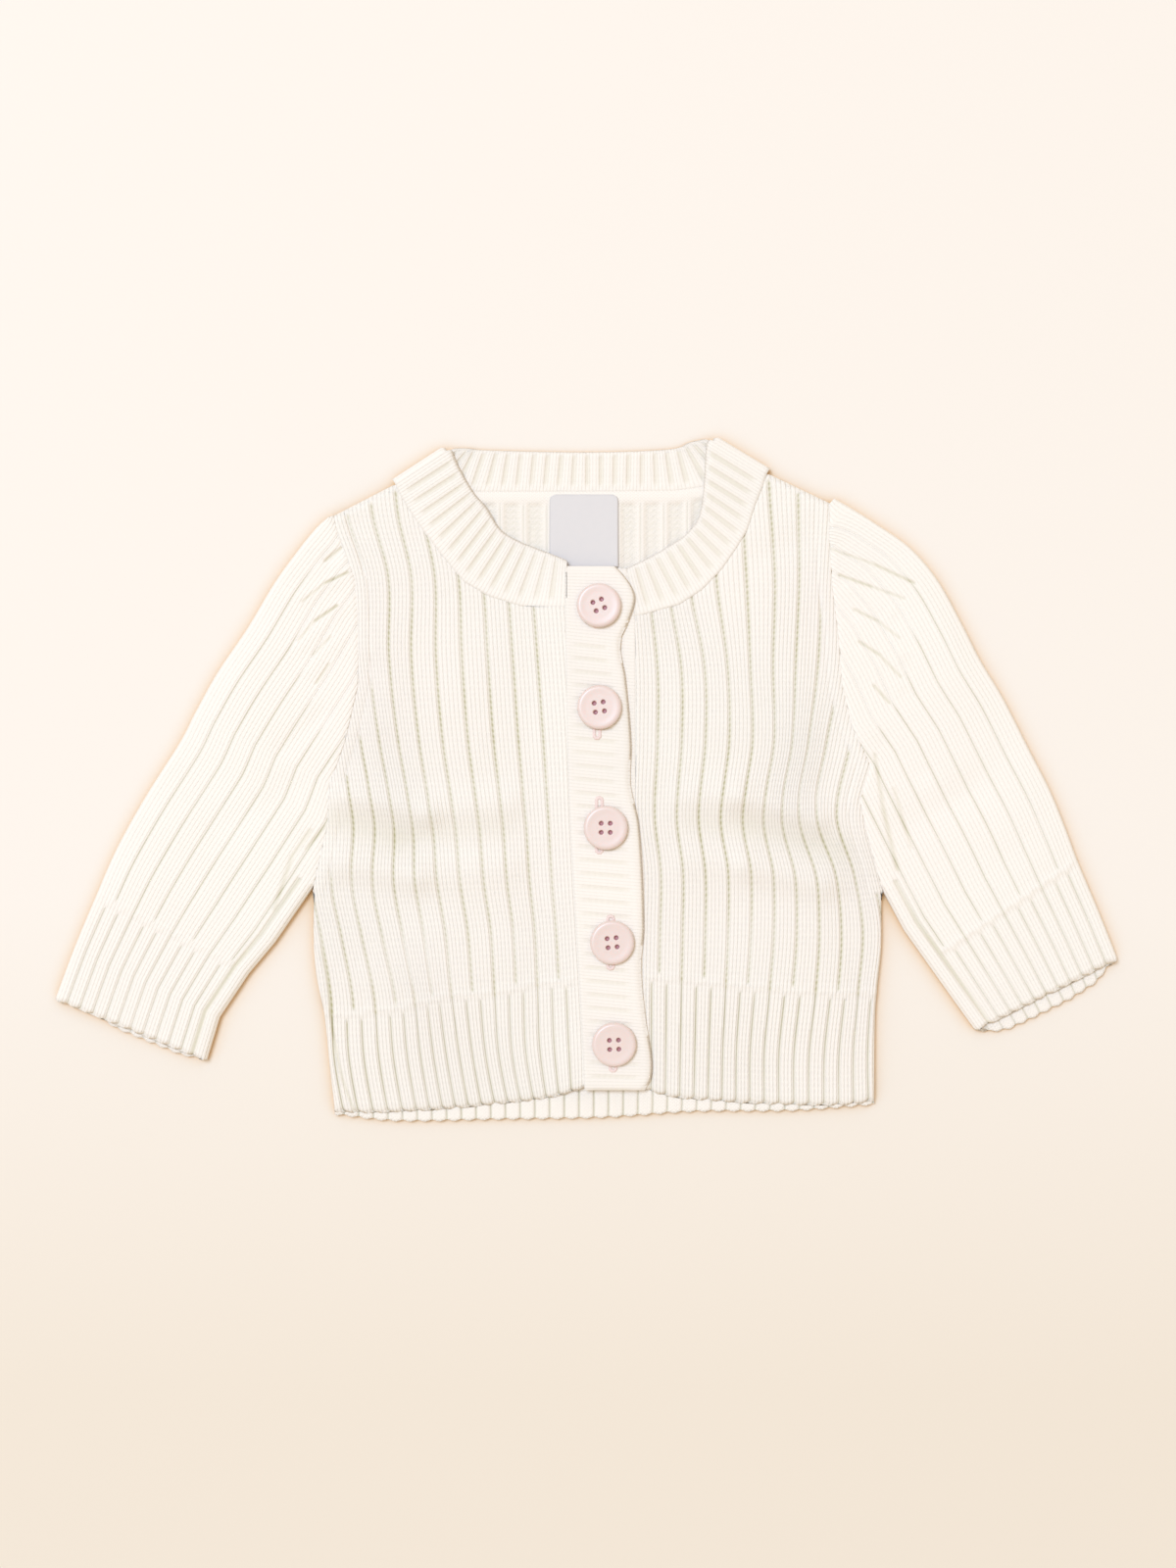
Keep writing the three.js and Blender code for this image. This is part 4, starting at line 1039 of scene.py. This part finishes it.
# One sheet that starts under the armhole seam, folds over the outer edge and comes back on top
def makeSleeve(name, node, which):
    rows, side = which["rows"], which["side"]
    number = np.arange(len(rows["ribs"]))
    outerX, outerY = (curveThrough(number, rows[c]) for c in ("outerX", "outerY"))
    innerX, innerY = (straightThrough(number, rows[c]) for c in ("innerX", "innerY"))
    fine, run = sampledRun(number, outerX, outerY, innerX, innerY)
    runAt = straightThrough(fine, run)
    cuffRun, closedRun, headRun = (float(runAt(sleeve[c])) for c in ("cuffRow", "closedRows", "headRow"))
    runs = levelsOf(0, run[-1], [runAt(n) for n in number[1:-1]])
    runs = sorted([*runs, *((a + b) / 2 for a, b in zip(runs, runs[1:]) if a > headRun)])
    top, wall = cloth["layer"] + cloth["wall"], cloth["sleeveWall"]
    ceiling = top - wall
    cuffLine = np.array((innerX(0) - outerX(0), innerY(0) - outerY(0)), float)
    down = np.array((cuffLine[1], -cuffLine[0])) * side / math.hypot(*cuffLine)
    down = down if down[1] < 0 else -down
    peekAt, headAt = corners(which["peek"], "reach", "out"), corners(which["head"], "y", "x")
    outer, inner = [], []
    for index, travelled in enumerate(runs):
        n = float(np.interp(travelled, run, fine))
        start = np.array((float(outerX(n)), float(outerY(n))))
        end = np.array((float(innerX(n)), float(innerY(n))))
        width = math.hypot(*(end - start))
        ribs = float(np.interp(n, number, rows["ribs"]))
        course = travelled / cloth["course"]
        closed = travelled <= closedRun + 1e-6
        turn = min(cloth["sideRound"], width * 0.35)
        turnKey = turn * ribs / width
        past = ease(1 - travelled / sleeve["peekReach"])

        def place(keys, reach, z, groove=0.0):
            out = peekAt(reach) * past * ease((foldHeight - z) / 0.4) - scallop(keys, travelled)
            x = start[0] + (end[0] - start[0]) * reach / width + down[0] * out
            y = start[1] + (end[1] - start[1]) * reach / width + down[1] * out
            inside = ease(reach / sleeve["foldFade"])
            if closed:
                inside = inside * ease((width - reach) / sleeve["closedFade"])
            upper = ease((z - foldHeight) / (ceiling - foldHeight))
            pucker = puckerAt(x, y) * upper
            head = ease(side * (headAt(y) - x) / 5) * upper * ease((y - sleeve["headFrom"]) / 14)
            dent = np.maximum(-sleeve["underDent"] * creaseAt(sleeveCreases, x, y), 0)
            dent = dent * inside * ease((1.5 - z) / 0.5)
            z = z + sleeveLoft(x, y) * inside * upper + pucker + dent
            # the grooves' painted shade fades in the head and the puckers get painted shade
            groove = groove * (1 - sleeve["headFade"] * head) - pucker * sleeve["puckerTint"]
            return makeRow(keys, x, y, z, keys * cloth["columns"], course, groove)

        # the outer skin: under side, fold, top side
        step = (0.25 if travelled > headRun else 0.5) / cloth["columns"]
        far = ribs - (turnKey if closed else 0)
        grid = gridKeys(turnKey, far, pitchesAt(travelled, cuffRun), sleeve["grid"], step)
        fromCuff = np.full_like(grid, cuffRun - travelled)
        depth, ribGroove = mixedRelief(grid, course, fromCuff, "sleeve", "cuff")
        reach = width * grid / ribs
        if closed:
            fromRoll = width - sleeve["roll"] - reach
            near = ease(fromRoll / 1.5)
            line = bell(fromRoll, sleeve["rollHalf"])
            rollRise = sleeve["rollRise"] * (1 - near) * (1 - line)
            topDepth = depth * near + line * sleeve["rollDip"] - rollRise
            # painted shade along the line beside the roll
            groove = ribGroove * near + sleeve["rollTint"] * line
        else:
            topDepth, groove = depth + seamValley(width - reach), ribGroove
        under = np.maximum(depth[::-1], 0) * sleeve["underGroove"]
        angles = np.radians(np.linspace(-sleeve["foldTurn"], sleeve["foldTurn"], 9))
        foldReach, foldZ = turn * (1 - np.cos(angles)), foldHeight * (1 + np.sin(angles))
        parts = [
            place(-grid[::-1], reach[::-1], under, groove[::-1]),
            place(turnKey * angles / math.radians(90), foldReach, foldZ),
            place(grid, reach, top - topDepth, groove),
        ]
        cuffEdge = hemRoundOver(travelled)
        parts[0][:, 3] = wall + (parts[0][:, 3] - wall) * cuffEdge
        parts[2][:, 3] = ceiling + (parts[2][:, 3] - ceiling) * cuffEdge
        if closed:
            bend = np.radians(np.array((0, 25, 50, 75)))
            endReach, rise = width - turn * (1 - np.cos(bend)), foldHeight * np.sin(bend)
            endKeys = ribs - turnKey * (1 - np.cos(bend))
            endKeys[1] = ribs - turnKey * 0.1
            parts.insert(0, place(-endKeys, endReach, foldHeight - rise))
            parts.append(place(endKeys[::-1], endReach[::-1], foldHeight + rise[::-1]))
        else:
            ends = np.array([ribs]), np.array([width])
            parts.insert(0, place(-ends[0], ends[1], np.array([0.0])))
            parts.append(place(*ends, np.array([top - cloth["seamDip"]])))
        outer.append((index, np.vstack(parts)))

        # the inner skin is plain, but for the cuff's inside
        onRow = min(abs(n - number)) < 1e-6
        shown = travelled < sleeve["ribbedInside"]
        if index % 6 and not onRow and not shown and index != len(runs) - 1:
            continue
        inset, bend = min(wall + 0.3, width * 0.2), min(5, width * 0.3)
        bendKey = bend * ribs / width
        half = [(0.0, inset, foldHeight), (bendKey, bend, ceiling)]
        half += [(ribs * s, width * s, ceiling) for s in (0.3, 0.5, 0.7)]
        if closed:
            half.append((ribs - bendKey, width - bend, ceiling))
        half.append((ribs, width - inset, foldHeight) if closed else (ribs, width, ceiling))
        half = np.array(half)
        lower = half[:0:-1] * (-1, 1, 1)
        lower[:, 2] = np.where(lower[:, 2] > foldHeight, wall, lower[:, 2])
        groove = np.zeros(len(lower))
        if shown:
            seen = (grid > bendKey) & (grid < ribs - bendKey)
            ribbed = np.column_stack((-grid, reach, wall - depth * 0.7))[seen][::-1]
            groove = np.concatenate(((0, 0), ribGroove[seen][::-1], (0,)))
            lower = np.vstack((lower[:2], ribbed, lower[-1:]))
        keys, reach, z = np.vstack((lower, half)).T
        shut = max(sleeve["closedGap"], ease((runs[-1] - travelled) / sleeve["closing"]))
        z = foldHeight + (z - foldHeight) * shut
        inner.append((index, place(keys, reach, z, np.append(groove, np.zeros(len(half))))))
    openIndex = next(i for i, r in enumerate(runs) if r >= closedRun - 1e-6)
    piece = clothWall(name, outer, inner, [sleeveKnit, reverse], openFrom=openIndex)
    knitPiece(piece, node)


frontBand = {
    "rib": 5.5,
    "plainLeft": 1.8,       # plain at both edges, and above a line, for the top button
    "plainRight": 4.5,
    "plainAbove": 58,
    "plainFade": 3,
    "edgeRound": 2.2,
    "across": 24,           # points across it
    "innerEvery": 10,
    "tilt": 2.4,            # its ribs run slightly down to the right
    "seamShare": 0.3,
    "underInset": 2.5,      # how far the lower band starts in from the upper one
    "freeEdge": table(
        "y x",
        (-126.8, 24), (-122, 26.6), (-114, 27), (-96, 24.2), (-76, 22.6), (-60, 23.8), (-19, 21.8),
        (-2, 18.2), (14, 18.6), (42, 16.2), (52, 14.2), (58, 14.6), (63, 17), (73, 20.2), (78, 19),
        (83, 15.6), (86.8, 12),
    ),
}
freeEdge = frontBand["freeEdge"]
buttonholeBand = {
    "left": lambda y: bandSeamAt(y) - cloth["seamLap"],
    "right": follow(freeEdge, "y", "x"),
    "bottom": freeEdge["y"][0],
    "top": freeEdge["y"][-1],
    "base": cloth["layer"] * 2,
    "seamed": False,        # its right edge is free
    "flat": (0.026, 0.214),
    "restsOn": ["ribbed_button_band"],
}
buttonBand = {
    "left": lambda y: bandSeamAt(y) + frontBand["underInset"],
    "right": lambda y: underBandSeamAt(y) + cloth["seamLap"],
    "bottom": underBandSeam["y"][0],
    "top": underBandSeam["y"][-1],
    "base": cloth["layer"],
    "seamed": True,
    "flat": (0.0245, 0.212),
    "restsOn": ["knit_back"],
}


def makeBand(name, node, band):
    wall, narrow, plainFade = cloth["wall"], cloth["narrow"], frontBand["plainFade"]
    bottom, top, seamed = band["bottom"], band["top"], band["seamed"]
    last = round((top - bottom) / frontBand["rib"]) * narrow
    share = np.linspace(0, 1, frontBand["across"])
    outer, inner = [], []
    for number, key in enumerate(withEnds(0, gridKeys(0, last, [narrow]), last)):
        along = key / last
        fromEnd = min(along, 1 - along)
        y = bottom + along * (top - bottom) - (share - 0.5) * frontBand["tilt"] * min(1, fromEnd * 12)
        left, right = band["left"](y), band["right"](y)
        x = left + (right - left) * share
        width = float(np.mean(right - left))
        course = share * width / cloth["course"]
        fromRight = (1 - share) * width
        plain = ease((share * width - frontBand["plainLeft"]) / plainFade)
        plain = plain * ease((fromRight - frontBand["plainRight"]) / plainFade)
        plain = plain * ease((frontBand["plainAbove"] - y) / 5)
        depth, groove = ribRelief(key, course, narrow, "band")
        edge = 1 if seamed else roundOver(fromRight, frontBand["edgeRound"])
        edge = edge * roundOver(fromEnd * (top - bottom) + 0.05, frontBand["edgeRound"])
        valley = seamValley(fromRight) * frontBand["seamShare"] if seamed else 0
        middle = band["base"] + wall / 2 - (0 if seamed else droopAt(fromRight))
        upper = middle + (wall / 2 - depth * plain - valley) * edge
        column = key * cloth["columns"]
        outer.append((number, makeRow(share, x, y, upper, column, course, groove * plain)))
        if number % frontBand["innerEvery"] == 0 or key in (0, last):
            inner.append((number, makeRow(share, x, y, middle - wall / 2 * edge, column, course)))
    piece = clothWall(name, outer, inner, [bandKnit])
    knitPiece(piece, node)


buttons = {
    "places": table(
        "x y turn",
        (5.4, 70.6, 21), (5.6, 29.2, 8), (8.2, -19.8, 0), (10.8, -66.4, 6), (11.6, -107.8, 2),
    ),
    "radius": 9.0,
    "thick": 3.0,
    "bottom": 8.1,          # height of the underside
    "sides": 96,
    "rings": 110,
    "holeRadius": 0.85,
    "holeSpacing": 3.7,
    "holeDepth": 1.7,
    "color": (0.72, 0.585, 0.54),
    "cloud": (0.74, 0.60, 0.555),
    "holeColor": (0.46, 0.19, 0.21),
}
# Across, as a share of the radius, and up, as a share of the thickness
buttonProfile = table(
    "out up",
    (0, 0), (0.84, 0), (0.95, 0.1), (0.99, 0.28), (1, 0.5), (0.985, 0.74), (0.94, 0.92), (0.88, 0.985),
    (0.8, 0.985), (0.7, 0.965), (0.6, 0.95), (0, 0.94),
)
buttonFace = 5  # from this line of the profile on, the holes are sunk in it


def buttonMaterial():
    material, tree, shader = newMaterial("pink_button", buttons["color"], 0.34)
    shader.inputs["Coat Weight"].default_value = 0.25
    shader.inputs["Coat Roughness"].default_value = 0.25
    shader.inputs["Subsurface Weight"].default_value = 0.15
    shader.inputs["Subsurface Radius"].default_value = (0.003, 0.0015, 0.0012)
    cloudy = mixColor(tree, noiseAt(tree, 120, 3), buttons["color"], buttons["cloud"])
    paint(tree, shader, mixColor(tree, attributeOf(tree, "hole"), cloudy, buttons["holeColor"]))
    bump(tree, shader, noiseAt(tree, 900, 2), 0.03, 0.4)
    return material


def buttonShape():  # rings of points from the underside's middle out and up to the top's middle
    radius, thick, sides, spacing = (buttons[c] for c in ("radius", "thick", "sides", "holeSpacing"))
    out, up = buttonProfile["out"] * radius, buttonProfile["up"] * thick
    run = np.concatenate(([0], np.cumsum(np.hypot(np.diff(out), np.diff(up)))))
    fine = np.linspace(0, run[-1], buttons["rings"])[1:-1]
    out, up = np.interp(fine, run, out), np.interp(fine, run, up)
    for line in (out, up, out, up):  # the turned profile has no corners
        line[1:-1] = (line[:-2] + 2 * line[1:-1] + line[2:]) / 4
    angle = np.linspace(0, fullTurn, sides, endpoint=False)
    x, y = np.outer(out, np.cos(angle)), np.outer(out, np.sin(angle))
    hole = np.zeros_like(x)
    for across in (-0.5, 0.5):
        for along in (-0.5, 0.5):
            away = np.hypot(x - across * spacing, y - along * spacing) / buttons["holeRadius"]
            hole = np.maximum(hole, 1 - ease((away - 0.75) / 0.5))
    hole = np.where((fine > run[buttonFace])[:, None], hole, 0)
    z = up[:, None] - hole * buttons["holeDepth"]
    points = np.column_stack((x.ravel(), y.ravel(), z.ravel()))
    points = np.vstack((points, (0, 0, up[0]), (0, 0, up[-1])))
    last = (len(fine) - 1) * sides
    pairs = [(k, (k + 1) % sides) for k in range(sides)]
    faces = [(r + k, r + n, r + sides + n, r + sides + k) for r in range(0, last, sides) for k, n in pairs]
    for k, n in pairs:
        faces += [(last + sides, n, k), (last + sides + 1, last + k, last + n)]
    return points, faces, np.append(hole.ravel(), (0, 0))


def makeButtons():
    material = buttonMaterial()
    points, faces, hole = buttonShape()
    places = buttons["places"]
    for number, (x, y, turn) in enumerate(zip(places["x"], places["y"], np.radians(places["turn"])), 1):
        cos, sin = math.cos(turn), math.sin(turn)
        turning = np.array(((cos, sin, 0), (-sin, cos, 0), (0, 0, 1)))
        name = f"four_hole_button_{number}"
        mesh = newMesh(name, points @ turning + (x, y, buttons["bottom"]), faces, [material])
        mesh.attributes.new("hole", "FLOAT", "POINT").data.foreach_set("value", hole)
        piece = newPiece(name, mesh)
        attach(piece, "root")
        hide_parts(f"button_{number}")
    print("buttons made")


buttonholes = {
    "ends": table(
        "x low high",
        (4.2, 62, 78), (4.7, 16.6, 35), (5.6, -30, -7.6), (10.2, -77.2, -55.8), (11.2, -118.8, -100),
    ),
    "halfWidth": 1.15,
    "thread": 0.7,          # half thickness of the stitched rim
    "flatter": 0.7,
    "z": 7.75,
    "stitch": 0.9,          # length of one stitch, and how far it swells
    "swell": 0.22,
    "step": 0.3,
    "sides": 8,
    "color": (0.80, 0.64, 0.60),
}


# A stitched rim round each slit, of which the ends show above or below the button
def makeButtonholes():
    material, tree, shader = newMaterial("pink_stitching", buttonholes["color"], 0.8)
    bump(tree, shader, noiseAt(tree, 1800, 2), 0.2, 0.6)
    half, sides, ends = buttonholes["halfWidth"], buttonholes["sides"], buttonholes["ends"]
    around = np.arange(sides) / sides * fullTurn
    for number, (x, low, high) in enumerate(zip(ends["x"], ends["low"], ends["high"]), 1):
        straight = high - low - 2 * half
        halfWay = straight + math.pi * half
        count = int(2 * halfWay / buttonholes["step"])
        points, faces = [], []
        for k in range(count):
            run = k / count * 2 * halfWay
            second = run >= halfWay  # the second half is the first one turned half round
            step = run - halfWay if second else run
            angle = max(0, (step - straight) / half)
            toSide, toEnd = math.cos(angle), math.sin(angle)
            rimX, rimY = half * toSide, min(step, straight) - straight / 2 + half * toEnd
            if second:
                toSide, toEnd, rimX, rimY = -toSide, -toEnd, -rimX, -rimY
            swell = buttonholes["swell"] * math.sin(run / buttonholes["stitch"] * fullTurn)
            thick = buttonholes["thread"] * (1 + swell)
            out, up = thick * np.cos(around), thick * buttonholes["flatter"] * np.sin(around)
            centre = (low + high) / 2
            points.append(np.column_stack(
                (x + rimX + toSide * out, centre + rimY + toEnd * out, buttonholes["z"] + up)
            ))
            a, b = k * sides, (k + 1) % count * sides
            faces += [(a + s, b + s, b + (s + 1) % sides, a + (s + 1) % sides) for s in range(sides)]
        name = f"buttonhole_stitching_{number}"
        piece = newPiece(name, newMesh(name, np.vstack(points), faces, [material]))
        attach(piece, "root")
    print("buttonholes made")


label = {
    "width": 28.0,
    "length": 29.6,
    "top": 116.4,
    "middle": -0.6,
    "thick": 0.5,
    "corner": 2.4,
    "z": 2.75,
    "hemIn": 1.2,           # a line of stitches runs this far in from the edge
    "stitchHalf": 0.35,
    "stitchDip": 0.16,
    "stitches": 3.2,
    "curl": 0.25,           # how far its lower corners lift
    "weave": (0.32, 0.4),   # width and height of one thread's repeat
    "color": (0.65, 0.62, 0.62),
    "cloud": (0.68, 0.64, 0.63),
    "flat": (0.028, 0.0296),
}


def labelMaterial():
    material, tree, shader = newMaterial("woven_label", label["color"], 0.6)
    shader.inputs["Sheen Weight"].default_value = 0.2
    repeats = zip(placeOn(tree), label["weave"])
    warp, weft = (wave(tree, times(tree, at, fullTurn / (size * millimetre))) for at, size in repeats)
    bump(tree, shader, times(tree, warp, weft), 0.04, 0.5)
    paint(tree, shader, mixColor(tree, noiseAt(tree, 300, 3), label["color"], label["cloud"]))
    return material


def makeLabel():
    half, corner = label["width"] / 2, label["corner"]
    share = np.linspace(0, 1, 36)
    outer, inner = [], []
    for number, down in enumerate(np.linspace(0, label["length"], 40)):
        inset = corner - math.sqrt(corner**2 - max(0, corner - down) ** 2)
        x = label["middle"] + (half - inset) * (2 * share - 1)
        y = np.full_like(x, label["top"] - down)
        edge = np.minimum(np.minimum(share, 1 - share) * label["width"], min(down, label["length"] - down))
        thread = 0.5 + 0.5 * np.sin((x + y) * label["stitches"])
        stitch = bell(edge - label["hemIn"], label["stitchHalf"]) * thread
        z = label["z"] + label["curl"] * ease(down / label["length"]) ** 2 * (2 * share - 1) ** 2
        upper = z + label["thick"] - label["stitchDip"] * stitch
        outer.append((number, makeRow(share, x, y, upper, x, y)))
        inner.append((number, makeRow(share, x, y, z, x, y)))
    piece = clothWall("bare_label", outer, inner, [labelMaterial()])
    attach(piece, "root")
    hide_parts("neck_label")
    print("label made")


studio = {
    "floorColor": (0.80, 0.735, 0.67),
    "floorNear": (0.74, 0.655, 0.555),  # painted shade, darker towards the bottom of the picture
    "nearRamp": (-5.0, -0.25),
    "floorShade": (0.74, 0.51, 0.29),   # painted shadow where something lies close by
    "shadeRamp": (-1.8, 1.68),
    "shadeReach": 0.04,
    "floorSize": 3000,
    "floorParts": 12,
    "world": (1.0, 0.85, 0.65),
    "worldStrength": 0.8,
    "lampColor": (0.60, 0.77, 1.0),
    "lampPower": 250.0,
    "lampSize": 2.4,
    "lampPlace": (-1.5, 1.4, 5.2),
    "lens": 50.0,
    "sensor": 36.0,
    "frameHeight": 0.640,
    "aim": (0.001, -0.002, 0.005),
}


def makeTable():
    material, tree, shader = newMaterial("pale_table", studio["floorColor"], 0.85)
    # painted shade, darker towards the bottom of the picture
    near = ramp(tree, placeOn(tree)[1], *studio["nearRamp"])
    # painted shadow round anything lying close by, from ambient occlusion
    shadowOcclusion = tree.nodes.new("ShaderNodeAmbientOcclusion")
    shadowOcclusion.inputs["Distance"].default_value = studio["shadeReach"]
    paintedShadowAmount = ramp(tree, shadowOcclusion.outputs["AO"], *studio["shadeRamp"])
    plain = mixColor(tree, near, studio["floorColor"], studio["floorNear"])
    paint(tree, shader, mixColor(tree, paintedShadowAmount, plain, studio["floorShade"]))
    bump(tree, shader, noiseAt(tree, 400, 2), 0.05, 0.2)
    half, parts = studio["floorSize"] / 2, studio["floorParts"]
    steps = np.linspace(-half, half, parts + 1)
    points = np.array([(x, y, 0.0) for y in steps for x in steps])
    corner = [row * (parts + 1) + column for row in range(parts) for column in range(parts)]
    faces = [(c, c + 1, c + parts + 2, c + parts + 1) for c in corner]
    newPiece("table_top", newMesh("table_top", points, faces, [material]))


def makeLight():
    world = bpy.data.worlds.new("soft_room")
    world.use_nodes = True
    sky = world.node_tree.nodes["Background"]
    sky.inputs["Color"].default_value = (*studio["world"], 1)
    sky.inputs["Strength"].default_value = studio["worldStrength"]
    bpy.context.scene.world = world
    lamp = newPiece("window_light", bpy.data.lights.new("window_light", "AREA"))
    lamp.data.shape = "DISK"
    lamp.data.size = studio["lampSize"]
    lamp.data.energy = studio["lampPower"]
    lamp.data.color = studio["lampColor"]
    lamp.location = studio["lampPlace"]
    lamp.rotation_euler = (-Vector(studio["lampPlace"])).to_track_quat("-Z", "Y").to_euler()


def makeCamera():  # straight above, at the photograph's angle
    camera = newPiece("camera", bpy.data.cameras.new("camera"))
    camera.data.lens = studio["lens"]
    camera.data.sensor_width = studio["sensor"]
    distance = studio["frameHeight"] * studio["lens"] / studio["sensor"]
    camera.location = np.add(studio["aim"], (0, 0, distance))
    bpy.context.scene.camera = camera
    bpy.context.scene.view_settings.view_transform = "Standard"


makeTable()
makeLight()
makeCamera()
print("studio made")
makeBack()
makeFront("knit_front_left", "front_left", frontLeft)
makeFront("knit_front_right", "front_right", frontRight)
makeSleeve("knit_sleeve_left", "sleeve_left", sleeveLeft)
makeSleeve("knit_sleeve_right", "sleeve_right", sleeveRight)
makeNeckband()
makeBand("ribbed_buttonhole_band", "buttonhole_band", buttonholeBand)
makeBand("ribbed_button_band", "button_band", buttonBand)
makeButtonholes()
makeButtons()
makeLabel()
